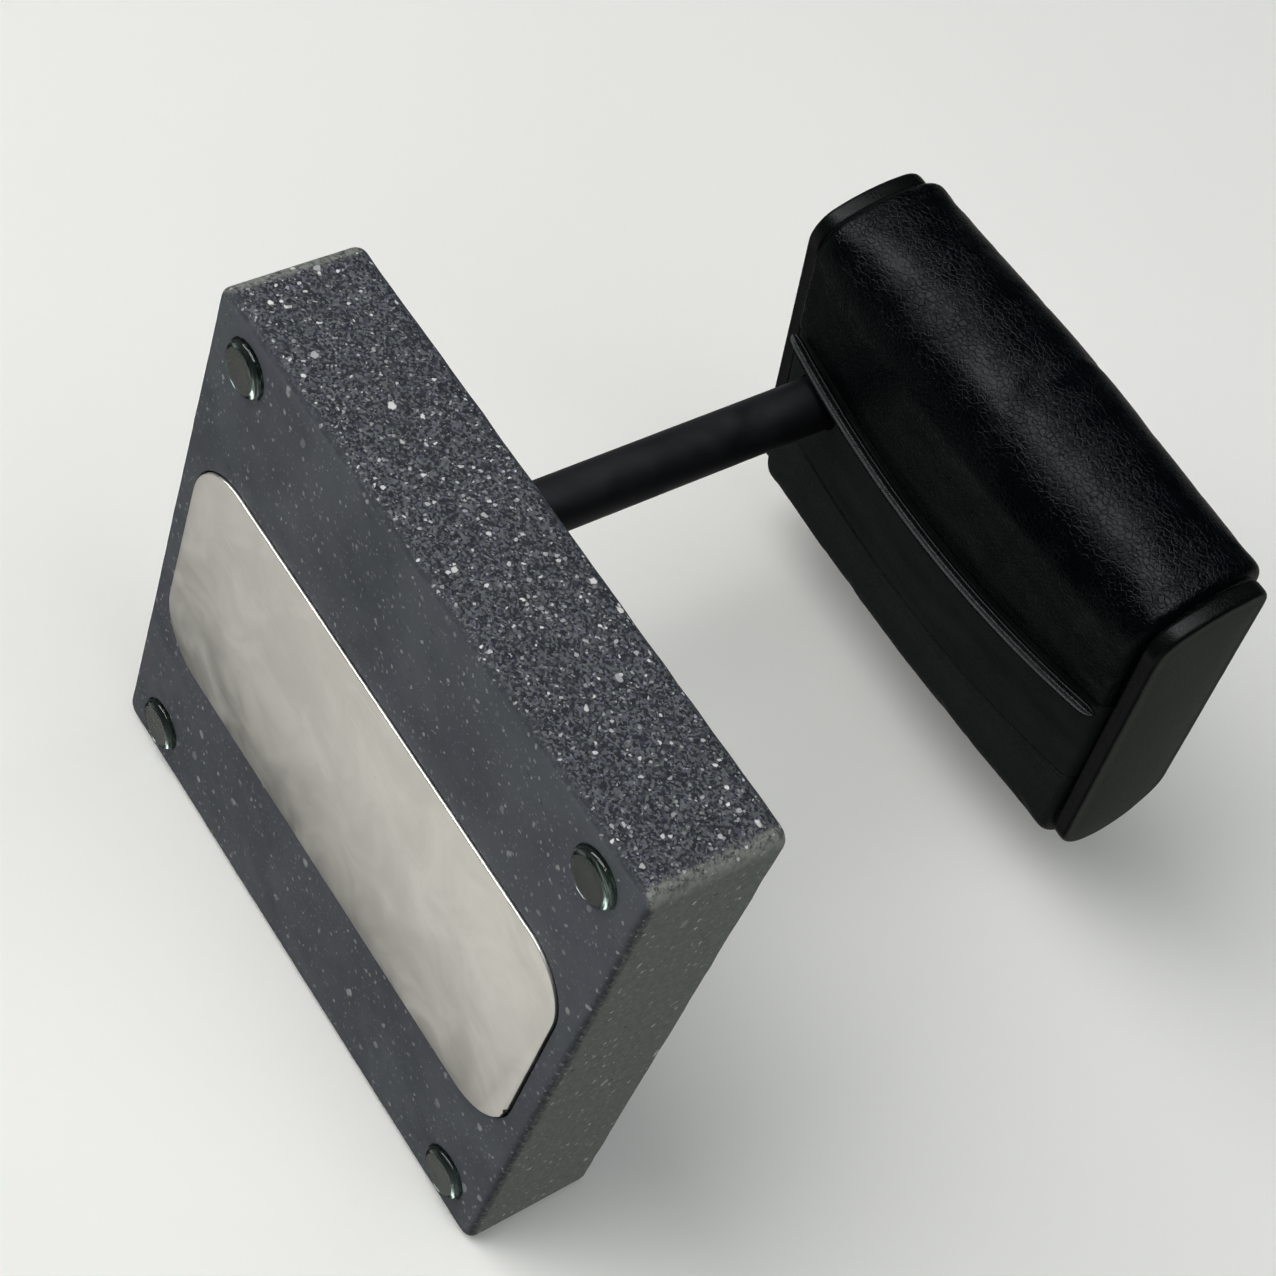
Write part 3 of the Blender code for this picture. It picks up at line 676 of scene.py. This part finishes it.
def make_slab(stone):
    half = BASE_SIDE / 2
    bm = bmesh.new()
    flat = slab_places(half, BASE_CORNER_R, EDGE_STEPS, STONE_STEP)
    middle = (STONE_TOP + STONE_BOTTOM) / 2
    rise = (STONE_TOP - STONE_BOTTOM) / 2
    tall = [middle + p for p in slab_places(rise, BASE_TOP_R, EDGE_STEPS, STONE_STEP)]
    made = {}

    def vert(x, y, z):
        key = (round(x, 8), round(y, 8), round(z, 8))
        if key not in made:
            p = rounded_slab_point(x, y, z, half, STONE_BOTTOM, STONE_TOP)
            made[key] = bm.verts.new(p)
        return made[key]

    def patch(us, vs, place):
        for u0, u1 in zip(us, us[1:]):
            for v0, v1 in zip(vs, vs[1:]):
                bm.faces.new([vert(*place(u, v)) for u, v in ((u0, v0), (u1, v0), (u1, v1), (u0, v1))])

    for z in (tall[0], tall[-1]):
        patch(flat, flat, lambda u, v, z=z: (u, v, z))
    for side in (flat[0], flat[-1]):
        patch(flat, tall, lambda u, v, s=side: (u, s, v))
        patch(flat, tall, lambda u, v, s=side: (s, u, v))
    bmesh.ops.recalc_face_normals(bm, faces=bm.faces)
    mesh = bpy.data.meshes.new("stone_slab")
    bm.to_mesh(mesh)
    bm.free()
    for v in mesh.vertices:
        p = v.co
        chip = max(0.0, wave(p.x, p.y, p.z, CHIP_SIZE, 8.4) - 0.50) * CHIP_DEPTH
        edges = sum(abs(abs(c) - half) < 2.0 * MM for c in (p.x, p.y))
        edges += p.z - STONE_BOTTOM < 1.6 * MM or STONE_TOP - p.z < 1.9 * MM
        if edges >= 2:
            centre = Vector((0.0, 0.0, middle))
            v.co = p + (centre - p).normalized() * chip
    mesh.shade_smooth()
    mesh.materials.append(stone)
    slab = link_object("stone_slab", mesh)

    below = STONE_BOTTOM - CUTTER_SPARE
    pocket = rounded_rect(PLATE_LENGTH, PLATE_WIDTH, PLATE_CORNER_R, -GAP, 16)
    cutters = [prism("pocket_cutter", pocket, below, POCKET_TOP, (0.0, PLATE_Y))]
    for i, foot in enumerate(FEET):
        low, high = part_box(foot)
        ring = circle(FOOT_SEAT_R, 64)
        cutters.append(prism(f"seat_cutter_{i}", ring, below, FOOT_SEAT_TOP, (low + high).xy / 2))
    bore = circle(SCREW_BORE_R, 48)
    cutters.append(prism("bore_cutter", bore, below, SCREW_BORE_TOP, (POST_X, 0.0)))
    hole = circle(POST_HOLE_R, 64)
    cutters.append(prism("hole_cutter", hole, POST_HOLE_BOTTOM, STONE_TOP + CUTTER_SPARE, (POST_X, 0.0)))
    cut(slab, cutters)
    slab.data.set_sharp_from_angle(angle=math.radians(40.0))
    settled_on(slab, "granite", "granite_base")


def make_feet(mat):
    for foot in FEET:
        low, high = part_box(foot)
        radius = (high.x - low.x) / 2
        face = radius - FOOT_BEVEL_WIDTH
        nose = FOOT_NOSE_R
        profile = [(0.0, low.z)] + [((face - nose) * i / 5, low.z) for i in range(1, 6)]
        for i in range(1, 6):
            a = math.pi / 3 * i / 5
            profile.append((face - nose + nose * math.sin(a), low.z + nose * (1 - math.cos(a))))
        for i in range(1, 6):
            t = i / 5
            r = face + (radius - face) * math.sin(math.pi / 2 * t)
            profile.append((r, low.z + FOOT_BEVEL_HEIGHT * (0.12 + 0.88 * t ** 1.5)))
        profile += [(radius, high.z - FOOT_BACK_BREAK), (radius - FOOT_BACK_BREAK, high.z)]
        profile.append((0.0, high.z))
        centre = (low + high) / 2
        pad = turned("pad_" + foot, profile, mat, centre.xy, 72)
        settled_on(pad, "clear_rubber", foot)


def make_plate(mat):
    low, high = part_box("underside_plate")
    rings = []
    for i in range(4):
        a = math.pi / 2 * i / 3
        rings.append((PLATE_EDGE_R * (1 - math.sin(a)), low.z + PLATE_EDGE_R * (1 - math.cos(a))))
    rings += [(0.0, high.z - PLATE_BACK_BREAK), (PLATE_BACK_BREAK, high.z)]
    verts = []
    for inset, z in rings:
        for x, y in rounded_rect(PLATE_LENGTH, PLATE_WIDTH, PLATE_CORNER_R, inset, 24):
            if x > 0.0:
                x -= sum(depth * math.exp(-((y - at) / width) ** 2) for at, width, depth in PLATE_NICKS)
            verts.append((x, y + PLATE_Y, z))
    count = len(verts) // len(rings)
    faces = grid_faces(len(rings), count, closed=True)
    faces += [tuple(range(count)), tuple(range(count * (len(rings) - 1), count * len(rings)))]
    plate = add_object("steel_plate", verts, faces, [mat])
    plate.data.set_sharp_from_angle(angle=math.radians(50.0))
    settled_on(plate, "satin_steel", "underside_plate")


def make_post(mat):
    low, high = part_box("post")
    profile = [(0.0, low.z), (POST_R - POST_CHAMFER, low.z), (POST_R - 0.1 * MM, low.z + 0.25 * MM)]
    steps = 60
    length = high.z - low.z - 2 * POST_CHAMFER
    profile += [(POST_R, low.z + POST_CHAMFER + length * i / steps) for i in range(steps + 1)]
    profile += [(POST_R - POST_CHAMFER, high.z), (0.0, high.z)]
    bar = turned("post_bar", profile, mat, (POST_X, 0.0), 96)
    bar.data.set_sharp_from_angle(angle=math.radians(40.0))
    spans = ((low.z - MM, low.z + THREAD_DEPTH), (high.z - THREAD_DEPTH, high.z + MM))
    bore = [prism(f"thread_cutter_{i}", circle(THREAD_R, 32), a, b, (POST_X, 0.0))
            for i, (a, b) in enumerate(spans)]
    cut(bar, bore)
    settled_on(bar, "black_coated_steel", "post")


# ---------------------------------------------------------------- head

def simulate(jobs):
    """Inflates each (object, held vertices, pressure, cap, slack) as cloth and keeps the result."""
    starts = []
    for obj, held, pressure, _, slack in jobs:
        start = np.empty(len(obj.data.vertices) * 3)
        obj.data.vertices.foreach_get("co", start)
        starts.append(start.reshape(-1, 3))
        obj.data.transform(Matrix.Scale(SIM_SCALE, 4))
        obj.vertex_groups.new(name="held").add(held, 1.0, "REPLACE")
        cloth = obj.modifiers.new("Cloth", "CLOTH")
        settings = cloth.settings
        settings.vertex_group_mass = "held"
        settings.use_pressure = True
        settings.uniform_pressure_force = pressure
        settings.effector_weights.gravity = 0.0
        settings.quality = 5
        settings.mass = 0.3
        settings.tension_stiffness = 12.0
        settings.compression_stiffness = 12.0
        settings.shear_stiffness = 5.0
        settings.bending_stiffness = 0.6
        settings.shrink_min = -slack
        cloth.collision_settings.use_collision = False
        cloth.collision_settings.use_self_collision = False
        cloth.point_cache.frame_start = 1
        cloth.point_cache.frame_end = SIM_FRAMES
    scene = bpy.context.scene
    for step in range(1, SIM_FRAMES + 1):
        scene.frame_set(step)
    graph = bpy.context.evaluated_depsgraph_get()
    for (obj, _, _, cap, _), start in zip(jobs, starts):
        shape = obj.evaluated_get(graph).to_mesh()
        swollen = np.empty(start.size)
        shape.vertices.foreach_get("co", swollen)
        moved = swollen.reshape(-1, 3) / SIM_SCALE - start
        length = np.linalg.norm(moved, axis=1, keepdims=True)
        limit = cap * np.tanh(length / cap) / np.maximum(length, 1e-12)
        final = start + moved * limit
        obj.modifiers.clear()
        obj.vertex_groups.clear()
        obj.data.vertices.foreach_set("co", final.ravel())
        obj.data.update()
    scene.frame_set(1)


def solid(obj, thickness, levels=1):
    step = obj.modifiers.new("Thickness", "SOLIDIFY")
    step.thickness = thickness
    step.offset = -1.0
    step.use_even_offset = True
    if levels:
        finer = obj.modifiers.new("Smooth", "SUBSURF")
        finer.levels = levels
        finer.render_levels = levels


def wrap_grid():
    """Outside of the leather round the drum, drawn in by what the simulation swells it."""
    verts = []
    places = stations(WRAP_STEPS, ROLL_STEPS)
    places = [places[0]] + places + [places[-1]]
    for i, x in enumerate(places):
        inner = max(0.0, 1 - (x / (WRAP_END - WRAP_ROLL_R)) ** 6)
        rise = wrap_rise(x) - 0.5 * DRUM_SWELL * inner
        if i in (0, len(places) - 1):
            rise -= TURN_IN
        low = -PANEL_HEIGHT / 2 - rise
        run = [(slot_back_y(x), low)] + outline(rise) + [(slot_front_y(x), low)]
        verts += [(x, y, z) for y, z in spaced(run, AROUND)]
    return places, verts


def outward(obj, inside):
    """Turns the faces so that they look away from a point inside the shape."""
    mesh = obj.data
    total = sum((p.center - inside).dot(p.normal) * p.area for p in mesh.polygons)
    if total < 0:
        mesh.flip_normals()


def make_wrap(mat):
    places, local = wrap_grid()
    faces = grid_faces(len(places), AROUND + 1)
    obj = add_object("drum_wrap", [on_head(p) for p in local], faces, [mat])
    outward(obj, HEAD_AT)
    columns = AROUND + 1
    held = [i * columns + j for i in range(len(places)) for j in range(columns)
            if min(i, len(places) - 1 - i) <= ROLL_STEPS + 2 or min(j, columns - 1 - j) <= 2]
    return obj, held


def pleat(obj):
    """Small gathers where the leather is drawn in at the drum's ends, and slow unevenness all over."""
    mesh = obj.data
    back = HEAD_TURN.transposed()
    moved = []
    for v in mesh.vertices:
        p = back @ (v.co - HEAD_AT)
        from_end = WRAP_END - WRAP_ROLL_R - abs(p.x)
        near = math.exp(-(max(0.0, from_end) / (4.2 * MM)) ** 1.3)
        if from_end < 0.0:
            near = max(0.0, 1.0 + from_end / WRAP_ROLL_R) ** 0.5
        side = 7.0 if p.x > 0 else 31.0
        ridge = wave(p.x * 0.15, p.y, p.z, 1.5 * MM, side)
        ridge += 0.6 * wave(p.x * 0.25, p.y, p.z, 0.8 * MM, side + 3)
        slow = wave(p.x, p.y, p.z, 9.0 * MM, 2.7) * 0.05 * MM
        slow += wave(p.x, p.y, p.z, 3.5 * MM, 5.1) * 0.04 * MM
        inner = min(1.0, max(0.0, from_end) / (3.0 * MM))
        moved.append(v.co + v.normal * (ridge * near * 0.20 * MM + slow * inner))
    mesh.vertices.foreach_set("co", [c for p in moved for c in p])
    mesh.update()


def make_strip(mat):
    """Thin leather closing the slot, with soft lengthwise folds, and a hole round the post."""
    rows, columns = 120, 40
    verts = []
    for i in range(-1, rows + 2):
        x = (WRAP_END - STRIP_SHORT) * max(-1.0, min(1.0, 2 * i / rows - 1))
        outer = -PANEL_HEIGHT / 2 - wrap_rise(x) + WRAP_LEATHER - STRIP_THICK
        if i in (-1, rows + 1):
            outer += STRIP_TURN_IN
        front = slot_front_y(x) + GAP
        back = slot_back_y(x) - GAP
        for j in range(columns + 1):
            t = j / columns
            y = front + (back - front) * t
            held = min(1.0, t / 0.06, (1.0 - t) / 0.06) * min(1.0, (WRAP_END - abs(x)) / (3.0 * MM))
            fold = sum(h * math.exp(-((t - at) / width) ** 2) for h, at, width in STRIP_FOLDS)
            uneven = 0.16 * wave(x * 0.35, y, 0.0, 4.0 * MM, 6.6) + 0.06 * wave(x, y, 0.0, 2.0 * MM, 9.2)
            verts.append(on_head((x, y, outer - held * (fold + uneven) * FOLD_HEIGHT)))
    obj = add_object("strip_leather", verts, grid_faces(rows + 3, columns + 1), [mat])
    if sum(p.normal.z * p.area for p in obj.data.polygons) > 0:
        obj.data.flip_normals()
    solid(obj, STRIP_THICK * 0.9, levels=0)
    settle(obj)
    _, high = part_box("post")
    ring = circle(POST_R + GAP, 64)
    cut(obj, [prism("post_cutter", ring, high.z - 25 * MM, high.z + 5 * MM, (POST_X, 0.0))])
    obj.data.shade_smooth()
    obj.data.set_sharp_from_angle(angle=math.radians(45.0))
    return obj


def make_welt(mat):
    """Folded edge of the front flap: a welt that narrows to a ridge on its lower side."""
    rows, columns = 150, 20
    end = WRAP_END - 0.5 * MM
    verts = []
    for i in range(rows + 1):
        x = end * (2 * i / rows - 1)
        left = (end - abs(x)) / WELT_TAPER
        size = math.sqrt(max(0.02, 1 - max(0.0, 1 - left) ** 2))
        z = -PANEL_HEIGHT / 2 - wrap_rise(x) + WRAP_LEATHER - STRIP_THICK - GAP - PIPING_R
        for j in range(columns):
            a = 2 * math.pi * j / columns
            radius = PIPING_R * size * (1 + 0.02 * wave(x, a * MM, 0.0, 3.0 * MM, 4.4))
            narrow = WELT_RIDGE + (1 - WELT_RIDGE) * max(0.0, math.sin(a)) ** 0.5
            y = piping_y(x) + radius * narrow * math.cos(a)
            verts.append(on_head((x, y, z + radius * math.sin(a))))
    faces = grid_faces(rows + 1, columns, closed=True)
    faces += [tuple(range(columns)), tuple(range(rows * columns, (rows + 1) * columns))]
    obj = add_object("flap_welt", verts, faces, [mat])
    finer = obj.modifiers.new("Smooth", "SUBSURF")
    finer.levels = finer.render_levels = 1
    return obj


def closed_outline(offset):
    """Closed outline, evenly spaced: FACE_LONG points on underside and top, FACE_SHORT at each end."""
    run = outline(offset)
    low = min(p[1] for p in run)
    corner = PANEL_WIDTH / 2 - PANEL_BACK_R * 0.45 + offset
    front = -PANEL_WIDTH / 2 + PANEL_FRONT_TOP_R * 0.5 - offset
    back_low = next(i for i, p in enumerate(run) if p[0] >= corner)
    back_high = max(i for i, p in enumerate(run) if p[0] >= corner)
    front_high = next(i for i, p in enumerate(run) if p[0] <= front)
    front_low = max(i for i, p in enumerate(run) if p[0] <= front)
    parts = [
        (run[back_low:back_high + 1], FACE_SHORT),
        (run[back_high:front_high + 1], FACE_LONG),
        (run[front_high:front_low + 1], FACE_SHORT),
        (run[front_low:] + [(0.0, low)] + run[:back_low + 1], FACE_LONG),
    ]
    return [spaced(points, count)[:-1] for points, count in parts]


def face_patch(sides):
    """Even grid filling a closed outline given as back, top, front and underside runs."""
    ring = np.concatenate(sides)
    count = len(ring)
    a, b = FACE_SHORT, FACE_LONG

    def pick(start, steps):
        return np.array([ring[(start + i) % count] for i in range(steps + 1)])

    right = pick(0, a)
    upper = pick(a, b)
    left = pick(a + b, a)[::-1]
    lower = pick(2 * a + b, b)[::-1]
    grid = np.zeros((a + 1, b + 1, 2))
    for i in range(a + 1):
        v = i / a
        for j in range(b + 1):
            u = j / b
            edge = (1 - v) * lower[j] + v * upper[j] + (1 - u) * right[i] + u * left[i]
            corners = (1 - u) * (1 - v) * lower[0] + u * (1 - v) * lower[b]
            corners = corners + (1 - u) * v * upper[0] + u * v * upper[b]
            grid[i, j] = edge - corners
    return grid


def make_panel(side, name, mat):
    """Soft end panel: flange, rim and crowned face in one skin."""
    back = PANEL_BACK
    rim = back + RIM_THICK
    profile = [(FLANGE_WIDTH, back), (2.0 * MM, back), (FLANGE_R, back)]
    for i in range(1, 4):
        a = math.pi / 2 * i / 3
        profile.append((FLANGE_R * (1 - math.sin(a)), back + FLANGE_R * (1 - math.cos(a))))
    profile.append((0.0, (back + rim) / 2 - 0.2 * MM))
    for i in range(0, 6):
        a = math.pi / 2 * i / 5
        profile.append((RIM_EDGE_R * (1 - math.cos(a)), rim - RIM_EDGE_R * (1 - math.sin(a))))
    profile += [(1.5 * MM, rim - 0.03 * MM), (2.0 * MM, rim + 0.02 * MM), (2.6 * MM, rim + FACE_LIFT)]
    verts = []
    for inset, x in profile:
        ring = np.concatenate(closed_outline(-inset))
        for y, z in ring:
            dimple = 0.05 * MM * wave(x, y, z, 2.4 * MM, 11.0 + side)
            verts.append((side * (x + (dimple if inset > 0.5 * MM and x > back + MM else 0.0)), y, z))
    count = len(ring)
    faces = grid_faces(len(profile), count, closed=True)
    sides = closed_outline(-profile[-1][0])
    grid = face_patch(sides)
    last = (len(profile) - 1) * count
    ids = np.zeros((FACE_SHORT + 1, FACE_LONG + 1), int)
    a, b = FACE_SHORT, FACE_LONG
    inner = []
    for i in range(a + 1):
        for j in range(b + 1):
            if j == 0:
                ids[i, j] = last + i
            elif i == a:
                ids[i, j] = last + a + j
            elif j == b:
                ids[i, j] = last + a + b + (a - i)
            elif i == 0:
                ids[i, j] = last + (2 * a + b + (b - j)) % count
            else:
                ids[i, j] = len(verts)
                inner.append(len(verts))
                y, z = grid[i, j]
                reach = min(i, a - i) * PANEL_HEIGHT / a
                reach_y = min(j, b - j) * PANEL_WIDTH / b
                crown = (1 - math.exp(-reach / (3.2 * MM))) * (1 - math.exp(-reach_y / (5.0 * MM)))
                verts.append((side * (rim + FACE_LIFT + FACE_CROWN * crown), y, z))
    for i in range(a):
        for j in range(b):
            faces.append((ids[i, j], ids[i, j + 1], ids[i + 1, j + 1], ids[i + 1, j]))
    obj = add_object(f"end_panel_{name}", [on_head(p) for p in verts], faces, [mat])
    outward(obj, on_head((side * (back + MM), 0.0, 0.0)))
    held = sorted(set(range(len(verts))) - set(inner))
    return obj, held


def make_head(leather, smooth, strip_finish, welt_finish):
    wrap, wrap_held = make_wrap(leather)
    right, right_held = make_panel(1, "right", smooth)
    left, left_held = make_panel(-1, "left", smooth)
    simulate([(wrap, wrap_held, 4.0, DRUM_SWELL, 0.004), (right, right_held, 3.0, PANEL_SWELL, 0.0),
              (left, left_held, 3.0, PANEL_SWELL, 0.0)])
    pleat(wrap)
    solid(wrap, WRAP_LEATHER)
    solid(right, COVER_LEATHER)
    solid(left, COVER_LEATHER)
    strip = make_strip(strip_finish)
    welt = make_welt(welt_finish)
    settled_on(wrap, "black_leather", "drum_leather")
    settled_on(right, "smooth_leather", "end_cover_right")
    settled_on(left, "smooth_leather", "end_cover_left")
    settled_on(strip, "smooth_leather", "underside_strip")
    settled_on(welt, "black_leather", "flap_piping")


def dress_hidden():
    """Finishes for the enclosed CAD nodes that stay as they are."""
    zinc = plain_material("zinc_finish", (0.52, 0.53, 0.55), (0.66, 0.66, 0.67), 0.8 * MM, 0.36, 1.0)
    brass = plain_material("brass_finish", (0.62, 0.43, 0.17), (0.76, 0.56, 0.26), 0.7 * MM, 0.34, 1.0)
    fibre = plain_material("fibre_finish", (0.26, 0.04, 0.02), (0.40, 0.08, 0.04), 0.3 * MM, 0.8,
                           stretch=(1, 1, 4))
    foam = plain_material("foam_finish", (0.05, 0.05, 0.05), (0.17, 0.17, 0.17), 0.5 * MM, 0.9,
                          depth=0.3 * MM)
    beech = plain_material("beech_finish", (0.42, 0.27, 0.15), (0.64, 0.45, 0.27), 0.9 * MM, 0.7,
                           stretch=(0.08, 1, 1))
    # Painted shade on the core's ends, so the joints between wrap and panels read dark.
    shade_core_ends(beech)
    board = plain_material("board_finish", (0.22, 0.17, 0.11), (0.36, 0.29, 0.21), 0.4 * MM, 0.85)
    film = plain_material("film_finish", (0.74, 0.73, 0.69), (0.84, 0.83, 0.80), 3.0 * MM, 0.6)
    chosen = {
        "plate_adhesive": film, "base_screw": zinc, "spring_washer": zinc, "flat_washer": zinc,
        "fibre_washer": fibre, "head_stud": zinc, "threaded_insert": brass, "head_core": beech,
        "head_foam": foam, "end_board_right": board, "end_board_left": board, "end_pad_right": foam,
        "end_pad_left": foam, "end_adhesive_right": film, "end_adhesive_left": film,
    }
    for name, mat in chosen.items():
        mesh = nodes[name].data
        mesh.materials.clear()
        mesh.materials.append(mat)


# ---------------------------------------------------------------- stage, light and camera

def make_stage():
    """The table behind the stand and the floor under its feet, each seen from in front only."""
    reach = STAGE_REACH
    wall_y = BASE_SIDE / 2 + GAP
    around = ((-reach, -reach), (reach, -reach), (reach, reach), (-reach, reach))
    planes = (
        ("stage_table", [(u, wall_y, v) for u, v in around], Vector((0, -1, 0))),
        ("stage_floor", [(u, v, 0.0) for u, v in around], Vector((0, 0, 1))),
    )
    for name, corners, normal in planes:
        mesh = bpy.data.meshes.new(name)
        mesh.from_pydata(corners, [], [(0, 1, 2, 3)])
        if mesh.polygons[0].normal.dot(normal) < 0:
            mesh.flip_normals()
        mesh.materials.append(one_sided(name + "_paint", STAGE_COLOR))
        obj = link_object(name, mesh)
        obj.visible_diffuse = False
        obj.visible_glossy = False
        obj.visible_transmission = False
        obj.visible_shadow = False


def make_world():
    """Bright behind the stand, above and below it, and dim elsewhere; plain and pale for the camera."""
    world = bpy.data.worlds.new("studio")
    bpy.context.scene.world = world
    world.use_nodes = True
    tree = world.node_tree
    tree.nodes.clear()
    direction = node(tree, "TexCoord").outputs["Generated"]
    apart = node(tree, "SeparateXYZ", {0: direction})
    below = ramp(tree, apart.outputs[2], -0.22, -0.38)
    above = ramp(tree, apart.outputs[2], 0.12, 0.40, 0.0, 0.4)
    level = math_node(tree, "MAXIMUM", math_node(tree, "MAXIMUM", below, above), 0.03)
    shade = times(tree, ramp(tree, apart.outputs[1], -0.04, 0.14), level)
    lit = mix(tree, shade, (0.012, 0.014, 0.018), (0.67, 0.665, 0.64))
    seen = node(tree, "LightPath").outputs["Is Camera Ray"]
    color = mix(tree, seen, lit, (0.86, 0.86, 0.85))
    background = node(tree, "Background", {"Color": color, "Strength": 1.0})
    node(tree, "OutputWorld", {"Surface": background.outputs[0]})


def area_light(name, direction, distance, size, power, color, glossy, aim=(0.0, 0.0, 0.055),
               along_x=None):
    light = bpy.data.lights.new(name, "AREA")
    light.shape = "RECTANGLE"
    light.size, light.size_y = size
    light.energy = power
    light.color = color
    obj = link_object(name, light)
    towards = Vector(direction).normalized()
    obj.location = Vector(aim) + towards * distance
    if along_x is None:
        obj.rotation_euler = towards.to_track_quat("Z", "Y").to_euler()
    else:
        x_axis = (Vector(along_x) - towards * Vector(along_x).dot(towards)).normalized()
        y_axis = towards.cross(x_axis)
        obj.rotation_euler = Matrix((x_axis, y_axis, towards)).transposed().to_euler()
    obj.visible_glossy = glossy
    obj.visible_camera = False
    return obj


def make_lights():
    """Soft key from below the front left; fills that only lighten; a long softbox that only reflects."""
    area_light("key", (-0.40, -0.80, -0.50), 1.0, (0.8, 0.8), 8.4, (1.0, 0.99, 0.97), False)
    area_light("fill_front", (0.10, -1.0, -0.10), 1.0, (1.0, 1.0), 3.0, (0.98, 1.0, 1.0), False)
    area_light("fill_right", (0.85, -0.45, 0.10), 1.0, (0.9, 0.9), 2.3, (0.95, 1.0, 0.98), False)
    area_light("fill_top", (0.1, -0.25, 1.0), 1.0, (0.9, 0.9), 2.6, (1.0, 1.0, 1.0), False)
    softbox = area_light("softbox", (-0.34, -0.91, -0.22), 0.8, (1.3, 0.36), 17.0, (0.96, 0.98, 1.0),
                         True, aim=tuple(HEAD_AT), along_x=(1.0, 0.0, 0.12))
    softbox.visible_diffuse = False


def make_camera():
    data = bpy.data.cameras.new("view")
    camera = link_object("view", data)
    data.lens = CAMERA_LENS
    data.sensor_width = 36.0
    data.clip_start = 0.01
    data.clip_end = 30.0
    forward = (CAMERA_AIM - CAMERA_AT).normalized()
    level = forward.cross(Vector((0.0, 0.0, 1.0))).normalized()
    upright = level.cross(forward)
    up = math.cos(CAMERA_ROLL) * upright + math.sin(CAMERA_ROLL) * level
    right = forward.cross(up)
    turn = Matrix((right, up, -forward)).transposed()
    camera.matrix_world = Matrix.Translation(CAMERA_AT) @ turn.to_4x4()
    bpy.context.scene.camera = camera


def main():
    stone = stone_material()
    drum_leather = leather_material(
        "drum_leather_finish", (0.0009, 0.0017, 0.0022), (0.0006, 0.0012, 0.0016), 0.80 * MM, 0.050 * MM,
        0.20, 0.010 * MM, 0.060, dull=(0.0105, 0.0124, 0.0124))
    welt_leather = leather_material(
        "welt_leather_finish", (0.0026, 0.0030, 0.0032), (0.0018, 0.0022, 0.0024), 0.5 * MM, 0.006 * MM,
        0.22, 0.010 * MM, 0.09)
    panel_leather = leather_material(
        "panel_leather_finish", (0.0480, 0.0520, 0.0465), (0.0390, 0.0430, 0.0385), 0.55 * MM,
        0.014 * MM, 0.58, 0.03 * MM, 0.08, rim=(0.0024, 0.0028, 0.0028))
    strip_leather = leather_material(
        "strip_leather_finish", (0.0120, 0.0135, 0.0138), (0.0060, 0.0078, 0.0078), 0.7 * MM, 0.018 * MM,
        0.52, 0.03 * MM, 0.06)
    make_slab(stone)
    make_plate(steel_material())
    make_feet(foot_material())
    make_post(rod_material())
    make_head(drum_leather, panel_leather, strip_leather, welt_leather)
    dress_hidden()
    make_stage()
    make_world()
    make_lights()
    make_camera()
    bpy.context.scene.view_settings.view_transform = "Standard"


main()
